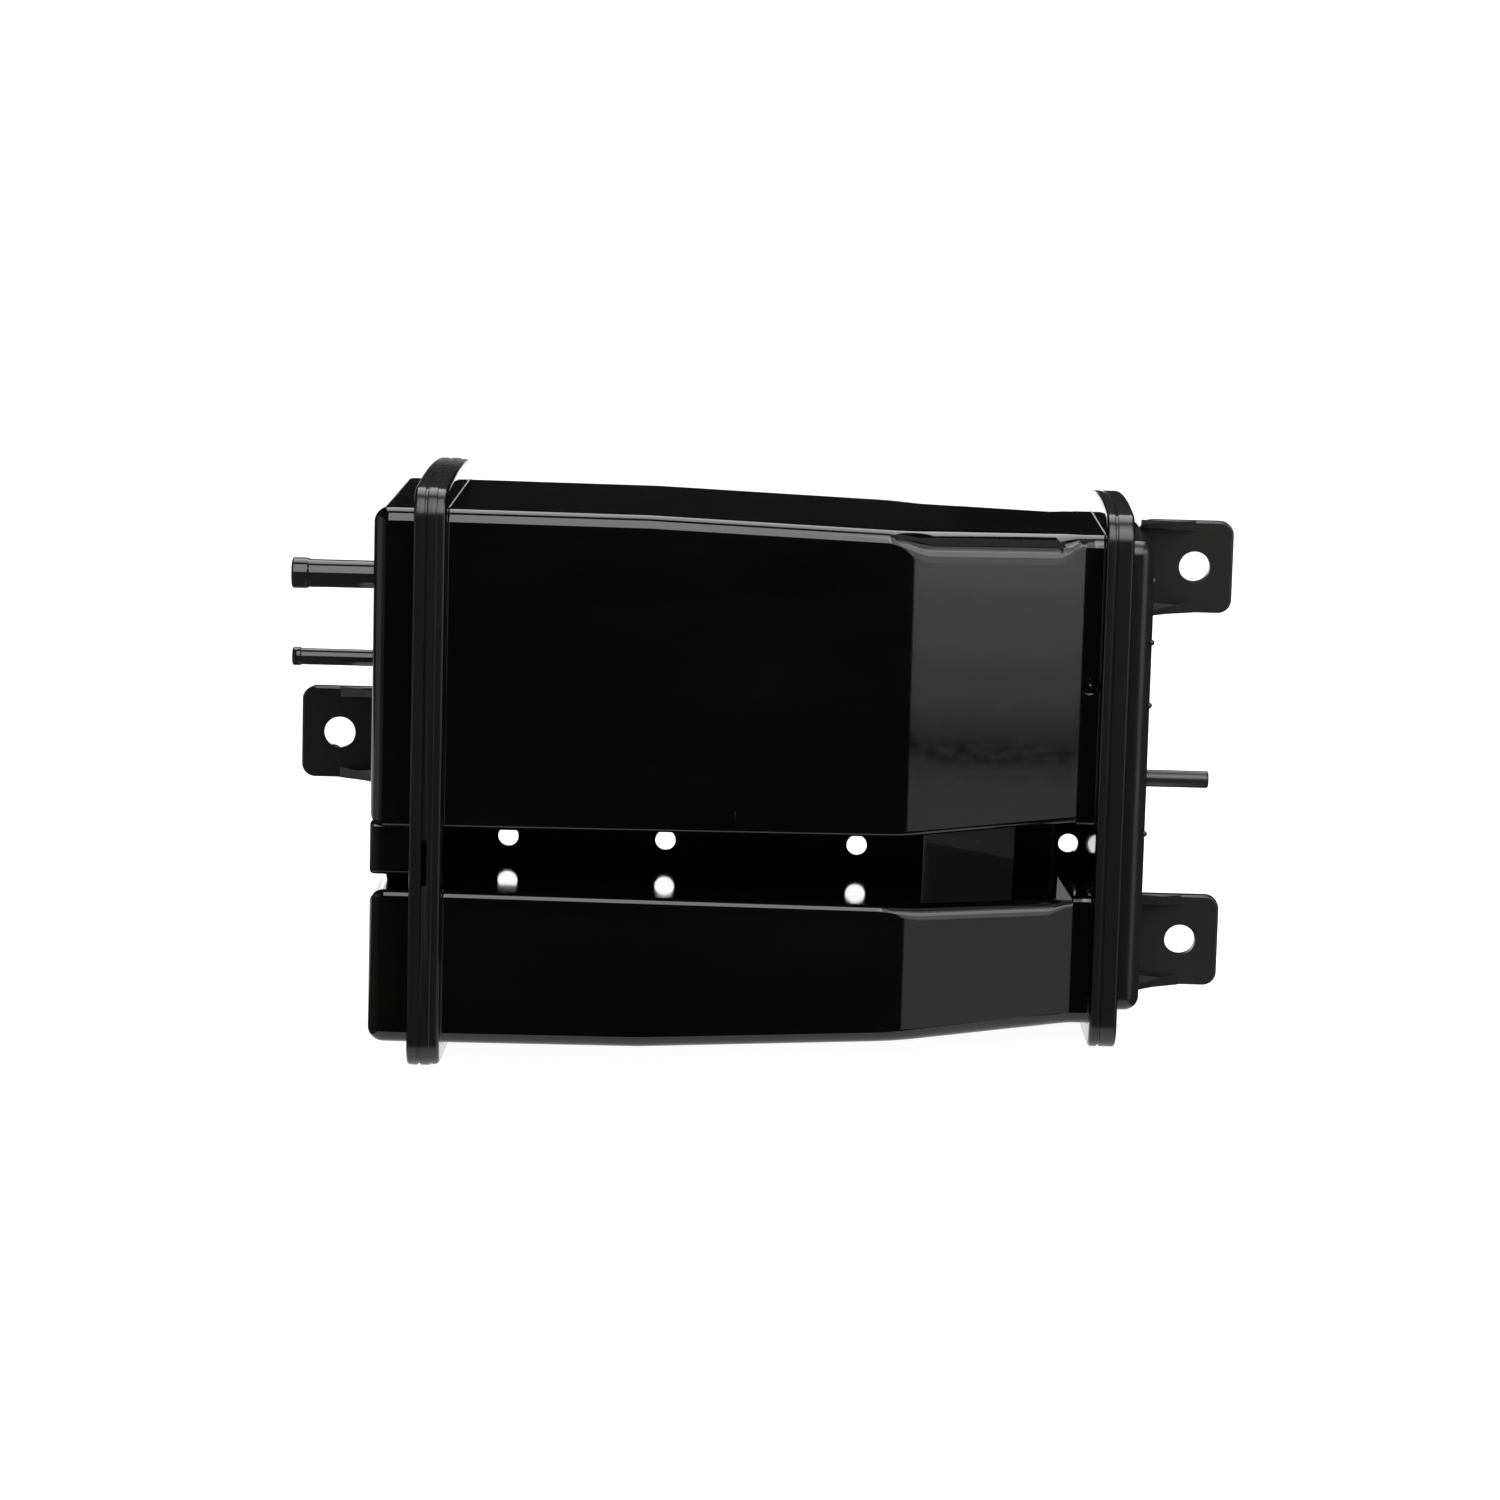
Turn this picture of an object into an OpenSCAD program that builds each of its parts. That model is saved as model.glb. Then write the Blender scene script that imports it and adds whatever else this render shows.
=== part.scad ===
// Charcoal canister that stores fuel vapour. A moulded case has two chambers, one over the other,
// joined by a web. A port cap closes the left end and a vent cap the right end, and each is welded
// on at a flange. Each chamber holds carbon between filter pads, pressed together by springs.
// The length runs along X and the front faces -Y. The origin is under the middle of the canister.
// Sizes are in millimetres.

/* [Chambers] */
// Length of the case between its two flanges
case_len = 184; // [160:1:230]
// Height of the main chamber at the port end
main_h = 90; // [80:1:120]
// Height of the second chamber at the port end
second_h = 44; // [40:1:60]
// Height of the open gap between the chambers at the port end
chamber_gap = 18; // [15:0.5:28]
// Depth of both chambers, front to back, at the port end
chamber_d = 91; // [86:1:120]
// Wall of the case and of both caps
wall = 2.5; // [2:0.1:3]
// Radius of the long outer edges of the chambers
edge_r = 4.2; // [3.6:0.1:7]
// Radius of the long edges beside the gap
gap_edge_r = 2; // [1:0.1:3.5]
// Length of the straight stretch before the outer walls taper
straight_len = 56; // [30:1:80]
// How far the top wall comes in by the vent end
top_taper = 4.7; // [1:0.1:9]
// How far the bottom wall comes in by the vent end
bottom_taper = 6.4; // [1:0.1:9]
// How far the main chamber's lower wall comes in by the vent end
main_gap_taper = 3.2; // [1.2:0.1:6]
// How far the second chamber's upper wall comes in by the vent end
second_gap_taper = 1.4; // [1.2:0.1:4]
// Draft of the mould on the other walls, in degrees
draft = 0.35; // [0:0.05:0.5]

/* [Front facet] */
// Length of the slanted facet on the front of both chambers
facet_len = 50; // [35:1:65]
// How far back the facet brings the front wall
facet_back = 20; // [10:0.5:28]
// Length of the collar between the facet and the vent flange
collar_len = 5.5; // [4:0.5:12]
// How far the collar stands out at the top, bottom and back
collar_step = 1.2; // [0.6:0.1:2.4]

/* [Web] */
// Thickness of the web between the chambers
web_t = 2.5; // [2:0.1:4]
// Depth of the web behind the front wall
web_back = 57; // [40:1:66]
// How far the web steps back near the vent end
web_step = 12; // [4:0.5:16]
// Length of the slope of that step
web_slope_len = 28; // [15:1:34]
// Distance from the start of the facet to the start of that slope
web_slope_lag = 8; // [2:0.5:14]
// Diameter of the holes through the web
web_hole_d = 5.8; // [4:0.1:7]
// Height of the hole centres above the second chamber
web_hole_rise = 6.6; // [5:0.1:9]
// Distances of the first three holes from the port flange
web_hole_x = [15, 61, 117]; // [8:0.5:125]
// Distance of the last hole from the vent flange
web_hole_end = 4.4; // [4:0.1:12]

/* [Weld flanges] */
// How far the flanges stand out from the chambers
flange_proud = 5.6; // [4:0.1:9]
// Corner radius of the flanges
flange_r = 8; // [6:0.5:12]
// How far the top and the bottom of the flanges bow out in the middle
flange_crown = 2.1; // [1:0.1:4]
// Thickness of the case's flange at the port end
port_case_flange_t = 5.8; // [4:0.1:8]
// Thickness of the port cap's flange
port_cap_flange_t = 3.4; // [2.5:0.1:6]
// Thickness of the case's flange at the vent end
vent_case_flange_t = 2.9; // [2:0.1:6]
// Thickness of the vent cap's flange
vent_cap_flange_t = 5; // [3:0.1:7]
// Width of the groove round each weld
seam_w = 0.6; // [0.4:0.1:1.6]
// Depth of the groove round each weld
seam_d = 0.4; // [0.2:0.1:1.5]
// Width of the lower step along the case's port flange, beside the chambers
rim_step_w = 2.8; // [1.5:0.1:3]
// Depth of that step
rim_step_d = 0.3; // [0.2:0.1:1]
// Depth of the open slit in the port seam in front of the gap
slit_d = 24; // [12:1:40]
// Width of that slit
slit_w = 1.6; // [1:0.1:2.4]

/* [Caps] */
// How far the port cap stands out from its flange
port_cap_len = 11.7; // [10:0.1:20]
// How far the vent cap stands out from its flange
vent_cap_len = 6.7; // [6:0.1:14]
// Radius of the edges round the end of each cap
cap_r = 3; // [2:0.1:3.4]
// Depth of the bridge of the port cap behind the front wall, and in front of the back wall
bridge_back = 2; // [1:0.5:12]
// Height of the slot between that bridge and the second chamber's part of the cap
bridge_slot = 5; // [3:0.5:8]
// Depth of the neck behind that slot, from the front wall and from the back wall
neck_back = 22; // [14:0.5:30]
// How far the vent cap's sides lie inside the chambers' outer walls
vent_cap_inset = 1.6; // [0.5:0.1:4]
// How much further in the vent cap's bottom lies
vent_cap_lift = 2.2; // [0:0.1:4]
// Thickness of the ribs that hold the port grids off the port cap
plenum_rib_t = 2; // [1.5:0.1:3]

/* [Ears] */
// Length of each mounting ear from the end of its cap
ear_len = 26.3; // [24:0.1:34]
// Height of each mounting ear
ear_h = 27; // [22:0.5:34]
// Thickness of each mounting ear
ear_t = 4; // [3:0.1:6]
// Radius of the outer corners of the ears
ear_r = 4; // [2:0.1:8]
// Depth of the front of the ears behind the front wall
ear_back = 70; // [50:1:78]
// Diameter of the bolt hole in each ear
bolt_hole_d = 9; // [6:0.1:10]
// Distance of each bolt hole from the end of its ear
bolt_hole_edge = 11.2; // [9:0.1:14]
// Distance between the bolt holes of the two ears on the vent cap
ear_span = 111.2; // [90:0.2:125]
// Length of the gussets along the ears
gusset_len = 15; // [10:0.5:18]
// Depth of the gussets along the end of the cap
gusset_d = 12; // [8:0.5:24]
// Thickness of the gussets at the ear
gusset_t = 3; // [2:0.1:4]
// Thickness of the gussets at their front edge
gusset_tip_t = 1; // [0.8:0.1:2]

/* [Ports] */
// Outer diameter of the tank port
tank_port_d = 8.2; // [6:0.1:12]
// Diameter of the bead on the tank port
tank_bead_d = 9; // [8.8:0.1:14]
// Length of the bead on the tank port
tank_bead_len = 4.4; // [3:0.1:6]
// Bore of the tank port
tank_bore_d = 5.6; // [3:0.1:5.8]
// Length of the tank port
tank_port_len = 27; // [20:0.5:40]
// Distance of the tank port below the top of the main chamber
tank_port_drop = 24.2; // [16:0.2:34]
// Outer diameter of the purge port
purge_port_d = 4.8; // [4:0.1:8]
// Diameter of the bead on the purge port
purge_bead_d = 5.4; // [5.2:0.1:9]
// Length of the bead on the purge port
purge_bead_len = 2.2; // [1.6:0.1:4]
// Bore of the purge port
purge_bore_d = 2.6; // [1.5:0.1:3]
// Length of the purge port
purge_port_len = 26.7; // [20:0.1:40]
// Distance of the purge port below the tank port
purge_port_drop = 24.2; // [16:0.2:30]
// Outer diameter of the vent port
vent_port_d = 5; // [4:0.1:8]
// Bore of the vent port
vent_bore_d = 2.8; // [1.5:0.1:3]
// Length of the vent port
vent_port_len = 20.2; // [14:0.1:30]
// Distance of the vent port below the middle of the vent cap
vent_port_drop = 4.9; // [0:0.1:12]
// Chamfer at the mouth of each port
port_chamfer = 0.6; // [0.2:0.1:0.8]

/* [Carbon beds] */
// Thickness of the perforated grids and plates
grid_t = 2.5; // [1.5:0.1:4]
// Thickness of the filter pads
pad_t = 3; // [2:0.1:6]
// Clearance between what slides into a chamber and its wall
bed_fit = 0.25; // [0.1:0.05:0.5]
// Width of the slots in the grids and plates
slot_w = 3; // [2:0.1:5]
// Distance from one slot to the next
slot_pitch = 7; // [6:0.1:12]
// Solid rim round the slots
slot_rim = 7; // [5:0.5:10]
// Width of the bar down the middle of each grid and plate
slot_bar = 8; // [4:0.5:14]

/* [Springs] */
// Length of the springs as fitted
spring_len = 22; // [18:0.5:30]
// Outer diameter of the springs
spring_d = 18; // [14:0.5:22]
// Diameter of the spring wire
spring_wire = 1.6; // [1:0.1:2]
// Turns of each spring
spring_turns = 5; // [4:1:6]
// Distance between the two springs of the main chamber
spring_span = 44; // [30:1:56]
// Height of the studs that keep the springs in place
stud_h = 3; // [2:0.1:5]
// Clearance between a stud and the inside of its spring
stud_fit = 0.3; // [0.1:0.05:1]

/* [Hidden] */
$fn = 64;

shell_colour = [0.06, 0.06, 0.065];
grid_colour = [0.32, 0.33, 0.34];
pad_colour = [0.75, 0.72, 0.64];
carbon_colour = [0.14, 0.14, 0.14];
spring_colour = [0.72, 0.73, 0.75];

// Thin slices and laps that only help the solids to join
skin = 0.01;
lap = 1;
blend_fn = 32;
corner_steps = 12;
bow_steps = 8;
end_steps = 6;
gusset_steps = 6;
coil_sides = 8;
coil_rings = 16;
// Part of a turn that lies flat at each end of a spring
closed_turn = 0.6;
gusset_power = 1.4;

// Places along the case, measured from the inner face of the port flange
collar_x = case_len - collar_len;
facet_x = collar_x - facet_len;
port_weld_x = -port_case_flange_t;
port_flange_x = port_weld_x - port_cap_flange_t;
port_end_x = port_flange_x - port_cap_len;
vent_weld_x = case_len + vent_case_flange_t;
vent_flange_x = vent_weld_x + vent_cap_flange_t;
vent_end_x = vent_flange_x + vent_cap_len;
stations = [port_weld_x, straight_len, facet_x, collar_x];

// Heights, measured from the bottom of the second chamber at the port end
main_z = second_h + chamber_gap;
top_z = main_z + main_h;
inner_r = edge_r - wall;

// How far each kind of wall has moved at a place x along the case
lean = tan(draft);
function outer_wall(x, taper) =
    x <= straight_len ? x * lean
    : straight_len * lean + (taper - straight_len * lean) * (x - straight_len) / (collar_x - straight_len);
function gap_wall(x, taper) =
    x <= facet_x ? x * lean
    : facet_x * lean + (taper - facet_x * lean) * (x - facet_x) / facet_len;
function front_wall(x) = x <= facet_x ? 0 : facet_back * (x - facet_x) / facet_len;
function back_wall(x) = chamber_d - x * lean;

// Outer walls of each chamber at x, as [front, back, bottom, top, radius of lower edges, of upper edges]
function main_box(x) = [
    front_wall(x), back_wall(x), main_z + gap_wall(x, main_gap_taper), top_z - outer_wall(x, top_taper),
    gap_edge_r, edge_r
];
function second_box(x) = [
    front_wall(x), back_wall(x), outer_wall(x, bottom_taper), second_h - gap_wall(x, second_gap_taper),
    edge_r, gap_edge_r
];
// The collar stands out on every side but the front, where it lies flush with the end of the facet
function collar_box(end) = [end[0] + collar_step, end[1], end[2], end[3], end[4], end[5]];
function grown(box, by) = [box[0] - by, box[1] + by, box[2] - by, box[3] + by];
function middle(a, b) = (a + b) / 2;

main_boxes = [for (x = stations) main_box(x)];
second_boxes = [for (x = stations) second_box(x)];
main_mouth = main_box(port_weld_x);
second_mouth = second_box(port_weld_x);
main_end = main_box(collar_x);
second_end = second_box(collar_x);

// Outlines of the flanges and of the parts of the caps
port_flange_box = grown([0, chamber_d, 0, top_z], flange_proud);
vent_outer = [main_end[0], main_end[1], second_end[2], main_end[3]];
vent_flange_box = grown(vent_outer, flange_proud);
bridge_box = [bridge_back, chamber_d - bridge_back, second_h + bridge_slot, main_z + wall + edge_r];
neck_box = [neck_back, chamber_d - neck_back, second_h - inner_r, main_z + inner_r];
pocket_box = [
    bridge_back + wall, chamber_d - bridge_back - wall, second_h + bridge_slot + wall, main_z + wall + edge_r
];
passage_box = [
    neck_back + wall, chamber_d - neck_back - wall, second_h - wall - edge_r, main_z + wall + edge_r
];
vent_inset_box = grown(vent_outer, -vent_cap_inset);
vent_cap_box = [vent_inset_box[0], vent_inset_box[1], vent_inset_box[2] + vent_cap_lift, vent_inset_box[3]];
ear_z = middle(vent_cap_box[2], vent_cap_box[3]);
port_y = chamber_d / 2;
tank_port_z = top_z - tank_port_drop;
purge_port_z = tank_port_z - purge_port_drop;
vent_port_y = middle(vent_cap_box[0], vent_cap_box[1]);
vent_port_z = ear_z - vent_port_drop;

// The stack in each chamber, from the port cap's ribs to the vent cap
port_pad_x = port_weld_x + grid_t;
bed_x = port_pad_x + pad_t;
spring_seat_x = vent_end_x - wall;
plate_face_x = spring_seat_x - spring_len;
plate_x = plate_face_x - grid_t;
vent_pad_x = plate_x - pad_t;
spring_y = middle(front_wall(plate_face_x), back_wall(plate_face_x));
main_spring_z = middle(main_end[2], main_end[3]);
second_spring_z = middle(second_end[2], second_end[3]);
spring_places = [
    main_spring_z + spring_span / 2, main_spring_z - spring_span / 2, second_spring_z
];
stud_d = spring_d - 2 * spring_wire - 2 * stud_fit;

// The origin lies under the middle of everything
left_x = min(port_end_x - ear_len, port_end_x - tank_port_len, port_end_x - purge_port_len);
right_x = max(vent_end_x + ear_len, vent_end_x + vent_port_len);
origin = [
    middle(left_x, right_x), middle(port_flange_box[0], port_flange_box[1]),
    port_flange_box[2] - flange_crown
];
reach = 2 * (case_len + top_z + chamber_d);

// Puts the canister on its origin
module placed() { translate(-origin) children(); }

// A rectangle with round corners across the canister, with its sides moved in by inset
module outline(box, inset, r) {
    y = box[0] + inset;
    z = box[2] + inset;
    d = box[1] - box[0] - 2 * inset;
    h = box[3] - box[2] - 2 * inset;
    translate([y + r, z]) square([d - 2 * r, h]);
    translate([y, z + r]) square([d, h - 2 * r]);
    for (cy = [y + r, y + d - r], cz = [z + r, z + h - r])
        translate([cy, cz]) circle(r);
}

// That rectangle, drawn out along X
module slab(x, length, box, inset, r) {
    translate([x, 0, 0]) rotate([90, 0, 90]) linear_extrude(length) outline(box, inset, r);
}

// Points round a flange, whose corners run smoothly into the bows of its top and bottom
function flange_points(box, inset) =
    let (
        mid_y = middle(box[0], box[1]),
        half_d = (box[1] - box[0]) / 2,
        bow_r = (half_d * half_d + flange_crown * flange_crown) / (2 * flange_crown),
        corner_y = half_d - flange_r,
        lean = asin(corner_y / (bow_r - flange_r)),
        corner_z = (bow_r - flange_r) * cos(lean),
        top_mid = box[3] + flange_crown - bow_r,
        low_mid = box[2] - flange_crown + bow_r,
        fourth = concat(
            [for (i = [0 : corner_steps])
                let (turn = (90 - lean) * i / corner_steps)
                    [corner_y, corner_z] + (flange_r - inset) * [cos(turn), sin(turn)]],
            [for (i = [1 : bow_steps])
                let (turn = lean * (1 - i / bow_steps))
                    (bow_r - inset) * [sin(turn), cos(turn)]]
        ),
        back_order = [len(fourth) - 2 : -1 : 0]
    )
    concat(
        [for (p = fourth) [mid_y + p[0], top_mid + p[1]]],
        [for (i = back_order) [mid_y - fourth[i][0], top_mid + fourth[i][1]]],
        [for (p = fourth) [mid_y - p[0], low_mid - p[1]]],
        [for (i = back_order) [mid_y + fourth[i][0], low_mid - fourth[i][1]]]
    );

// A flange's outline, drawn out along X
module flange_slab(x, length, box, inset) {
    translate([x, 0, 0]) rotate([90, 0, 90]) linear_extrude(length) polygon(flange_points(box, inset));
}

// A slice across a chamber, whose lower and upper edges have their own radii
module chamber_slab(x, length, box, inset) {
    for (upper = [false, true]) {
        r = max(box[upper ? 5 : 4] - inset, skin);
        cz = upper ? box[3] - inset - r : box[2] + inset + r;
        for (cy = [box[0] + inset + r, box[1] - inset - r])
            translate([x, cy, cz]) rotate([0, 90, 0]) cylinder(length, r = r, $fn = blend_fn);
    }
}

// The long form of a chamber through its stations, with its walls moved in by inset
module chamber(boxes, inset) {
    hull()
        for (i = [0 : len(stations) - 1]) chamber_slab(stations[i], skin, boxes[i], inset);
}

// The collar round the end of a chamber
module collar(end) {
    hull() chamber_slab(collar_x, collar_len + lap, collar_box(end), -collar_step);
}

// What a chamber leaves open, through both flanges
module hollow(boxes, mouth, end) {
    chamber(boxes, wall);
    slab(port_weld_x - lap, lap + skin, mouth, wall, inner_r);
    slab(collar_x, case_len - collar_x + vent_case_flange_t + lap, end, wall, inner_r);
}

// A flange with its half of the weld groove on the side that groove_first tells, and with a step
// of the width given at its other side
module flange(x, t, box, groove_first, step_w = 0) {
    half = seam_w / 2;
    flange_slab(groove_first ? x + half : x, t - half - step_w, box, 0);
    flange_slab(x, t, box, seam_d);
    if (step_w > 0) flange_slab(x + half, t - half, box, rim_step_d);
}

// A round post along its own Z whose top rim is rounded
module post(length) {
    rotate_extrude($fn = blend_fn) polygon(concat(
        [[0, 0], [edge_r, 0]],
        [for (i = [0 : end_steps])
            let (turn = 90 * i / end_steps)
                [edge_r - cap_r * (1 - cos(turn)), length - cap_r * (1 - sin(turn))]],
        [[0, length]]
    ));
}

// A box from one place to another along X, with a rounded rim where it ends
module lobe(box, from_x, to_x) {
    hull()
        for (y = [box[0] + edge_r, box[1] - edge_r], z = [box[2] + edge_r, box[3] - edge_r])
            translate([from_x, y, z])
                rotate([0, to_x > from_x ? 90 : -90, 0]) post(abs(to_x - from_x));
}

// The web along the gap, with its step back near the vent end
module web() {
    slope_x = facet_x + web_slope_lag;
    route = [
        [-lap, web_back], [slope_x, web_back],
        [slope_x + web_slope_len, web_back + web_step], [case_len + lap, web_back + web_step]
    ];
    far_side = [for (i = [len(route) - 1 : -1 : 0]) route[i] + [0, web_t]];
    translate([0, 0, second_h - edge_r - second_gap_taper])
        linear_extrude(chamber_gap + 2 * edge_r + second_gap_taper + main_gap_taper)
            polygon(concat(route, far_side));
}

module web_holes() {
    for (x = concat(web_hole_x, [case_len - web_hole_end]))
        translate([x, 0, second_h + web_hole_rise])
            rotate([-90, 0, 0])
                translate([0, 0, web_back - lap]) cylinder(web_step + web_t + 2 * lap, d = web_hole_d);
}

// The seam stays open in front of the gap, where there is nothing to seal
module seam_slit() {
    translate([port_weld_x - skin, -flange_proud - lap, second_h + wall])
        cube([slit_w + skin, slit_d + lap, chamber_gap - 2 * wall]);
}

// A rib that runs out along an ear and thins towards its front, with its flat side at Z = 0
module gusset() {
    intersection() {
        linear_extrude(gusset_t) polygon(concat(
            [[-lap, lap], [-lap, -gusset_d]],
            [for (i = [0 : gusset_steps])
                let (part = i / gusset_steps)
                    [gusset_len * part, -gusset_d * pow(1 - part, gusset_power)]],
            [[gusset_len, lap]]
        ));
        translate([-2 * lap, 0, 0]) rotate([90, 0, 90]) linear_extrude(gusset_len + 3 * lap) polygon([
            [2 * lap, -lap], [2 * lap, gusset_t + lap], [0, gusset_t + lap], [0, gusset_t],
            [-gusset_d, gusset_tip_t], [-gusset_d - lap, gusset_tip_t], [-gusset_d - lap, -lap]
        ]);
    }
}

// A mounting ear that stands out along X from the end of a cap, with its gussets
module ear() {
    translate([0, ear_t, 0]) rotate([90, 0, 0]) linear_extrude(ear_t) {
        translate([-lap, -ear_h / 2]) square([ear_len - ear_r + lap, ear_h]);
        translate([0, ear_r - ear_h / 2]) square([ear_len, ear_h - 2 * ear_r]);
        for (z = [ear_r - ear_h / 2, ear_h / 2 - ear_r])
            translate([ear_len - ear_r, z]) circle(ear_r);
    }
    translate([0, 0, -ear_h / 2]) gusset();
    translate([0, 0, ear_h / 2]) mirror([0, 0, 1]) gusset();
}

module ear_hole() {
    translate([ear_len - bolt_hole_edge, -lap, 0])
        rotate([-90, 0, 0]) cylinder(ear_t + 2 * lap, d = bolt_hole_d);
}

// A hose nipple along X, with a bead at its mouth where bead_len is more than nothing
module nipple(length, d, bead_d, bead_len) {
    shoulder = (bead_d - d) / 2;
    rotate([0, 90, 0]) rotate_extrude() polygon([
        [0, -lap], [d / 2, -lap], [d / 2, length - bead_len - shoulder],
        [bead_d / 2, length - bead_len], [bead_d / 2, length - port_chamfer],
        [bead_d / 2 - port_chamfer, length], [0, length]
    ]);
}

module nipple_bore(length, d) {
    translate([-wall - lap, 0, 0]) rotate([0, 90, 0]) cylinder(length + wall + 2 * lap, d = d);
}

// Puts what stands out along X onto the end of the port cap, or of the vent cap
module on_port_end(y, z) { translate([port_end_x, y, z]) mirror([1, 0, 0]) children(); }
module on_vent_end(y, z) { translate([vent_end_x, y, z]) children(); }

// Ribs inside the port cap that reach the grid over one chamber's mouth
module plenum_ribs(mouth) {
    third = (mouth[1] - mouth[0]) / 3;
    low = mouth[2] + wall + slot_rim;
    for (y = [mouth[0] + third, mouth[1] - third])
        translate([port_end_x + wall - lap, y - plenum_rib_t / 2, low])
            cube([port_weld_x - port_end_x - wall + lap, plenum_rib_t, mouth[3] - wall - slot_rim - low]);
}

// Slots across a grid, in two columns beside a bar
module slots(x, box) {
    inset = wall + bed_fit + slot_rim;
    low = box[2] + inset;
    count = floor((box[3] - inset - low - slot_w) / slot_pitch);
    first = middle(low, box[3] - inset) - count * slot_pitch / 2;
    mid_y = middle(box[0], box[1]);
    run = (box[1] - box[0]) / 2 - inset - slot_bar / 2;
    for (i = [0 : count], y = [box[0] + inset, mid_y + slot_bar / 2])
        translate([x - lap, y, first + i * slot_pitch - slot_w / 2])
            cube([grid_t + 2 * lap, run, slot_w]);
}

// The stretch of a chamber's inside from one place to another, less the sliding clearance
module filling(boxes, from_x, to_x) {
    intersection() {
        chamber(boxes, wall + bed_fit);
        translate([from_x, -reach / 2, -reach / 2]) cube([to_x - from_x, reach, reach]);
    }
}

// A stud along X that keeps a spring in place, from the face at x
module stud(x, z, way) {
    translate([way > 0 ? x - skin : x - stud_h, spring_y, z])
        rotate([0, 90, 0]) cylinder(stud_h + skin, d = stud_d);
}

function coil_centre(u) =
    let (
        r = (spring_d - spring_wire) / 2,
        rise = min(max((u - closed_turn) / (spring_turns - 2 * closed_turn), 0), 1)
    )
    [spring_wire / 2 + rise * (spring_len - spring_wire), r * cos(360 * u), r * sin(360 * u)];

// A coil spring with closed ends, along X from its left seat
module spring(z) {
    rings = spring_turns * coil_rings;
    points = [
        for (i = [0 : rings], k = [0 : coil_sides - 1])
            let (
                u = i / coil_rings,
                side = 360 * k / coil_sides,
                out = spring_wire / 2 * cos(side),
                along = spring_wire / 2 * sin(side)
            )
            coil_centre(u) + [along, out * cos(360 * u), out * sin(360 * u)]
    ];
    walls = [
        for (i = [0 : rings - 1], k = [0 : coil_sides - 1])
            let (next = (k + 1) % coil_sides)
            [
                i * coil_sides + k, i * coil_sides + next,
                (i + 1) * coil_sides + next, (i + 1) * coil_sides + k
            ]
    ];
    start = [for (k = [coil_sides - 1 : -1 : 0]) k];
    finish = [for (k = [0 : coil_sides - 1]) rings * coil_sides + k];
    translate([plate_face_x, spring_y, z]) polyhedron(points, concat([start], walls, [finish]));
}

// The moulded case
module canister_case() {
    color(shell_colour) placed() difference() {
        union() {
            chamber(main_boxes, 0);
            chamber(second_boxes, 0);
            collar(main_end);
            collar(second_end);
            web();
            flange(port_weld_x, port_case_flange_t, port_flange_box, true, rim_step_w);
            flange(case_len, vent_case_flange_t, vent_flange_box, false);
        }
        hollow(main_boxes, main_mouth, main_end);
        hollow(second_boxes, second_mouth, second_end);
        web_holes();
        seam_slit();
    }
}

// The cap at the port end, moulded with two hose ports and one ear
module port_cap() {
    inner_x = port_end_x + wall;
    depth = port_weld_x - inner_x;
    bridge_x = inner_x + cap_r;
    color(shell_colour) placed() {
        difference() {
            union() {
                flange(port_flange_x, port_cap_flange_t, port_flange_box, false);
                for (box = [main_mouth, second_mouth, bridge_box])
                    lobe(box, port_flange_x + lap, port_end_x);
                lobe(neck_box, port_flange_x + lap, port_end_x + cap_r);
                on_port_end(ear_back, ear_z) ear();
                on_port_end(port_y, tank_port_z)
                    nipple(tank_port_len, tank_port_d, tank_bead_d, tank_bead_len);
                on_port_end(port_y, purge_port_z)
                    nipple(purge_port_len, purge_port_d, purge_bead_d, purge_bead_len);
            }
            for (box = [main_mouth, second_mouth])
                slab(inner_x, depth + lap, box, wall, inner_r);
            for (box = [pocket_box, passage_box])
                slab(bridge_x, port_flange_x - bridge_x, box, 0, inner_r);
            on_port_end(ear_back, ear_z) ear_hole();
            on_port_end(port_y, tank_port_z) nipple_bore(tank_port_len, tank_bore_d);
            on_port_end(port_y, purge_port_z) nipple_bore(purge_port_len, purge_bore_d);
        }
        plenum_ribs(main_mouth);
        plenum_ribs(second_mouth);
    }
}

// The cap at the vent end, moulded with one hose port and two ears
module vent_cap() {
    ear_places = [ear_z + ear_span / 2, ear_z - ear_span / 2];
    color(shell_colour) placed() {
        difference() {
            union() {
                flange(vent_weld_x, vent_cap_flange_t, vent_flange_box, true);
                lobe(vent_cap_box, vent_flange_x - lap, vent_end_x);
                for (z = ear_places) on_vent_end(ear_back, z) ear();
                on_vent_end(vent_port_y, vent_port_z) nipple(vent_port_len, vent_port_d, vent_port_d, 0);
            }
            slab(vent_weld_x - lap, spring_seat_x - vent_weld_x + lap, vent_cap_box, wall, inner_r);
            for (z = ear_places) on_vent_end(ear_back, z) ear_hole();
            on_vent_end(vent_port_y, vent_port_z) nipple_bore(vent_port_len, vent_bore_d);
        }
        for (z = spring_places) stud(spring_seat_x, z, -1);
    }
}

// Grids over the mouths, which the filter pads lie against
module port_grid(mouth) {
    color(grid_colour) placed() difference() {
        slab(port_weld_x, grid_t, mouth, wall + bed_fit, max(inner_r - bed_fit, skin));
        slots(port_weld_x, mouth);
    }
}

module main_port_grid() { port_grid(main_mouth); }
module second_port_grid() { port_grid(second_mouth); }

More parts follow.
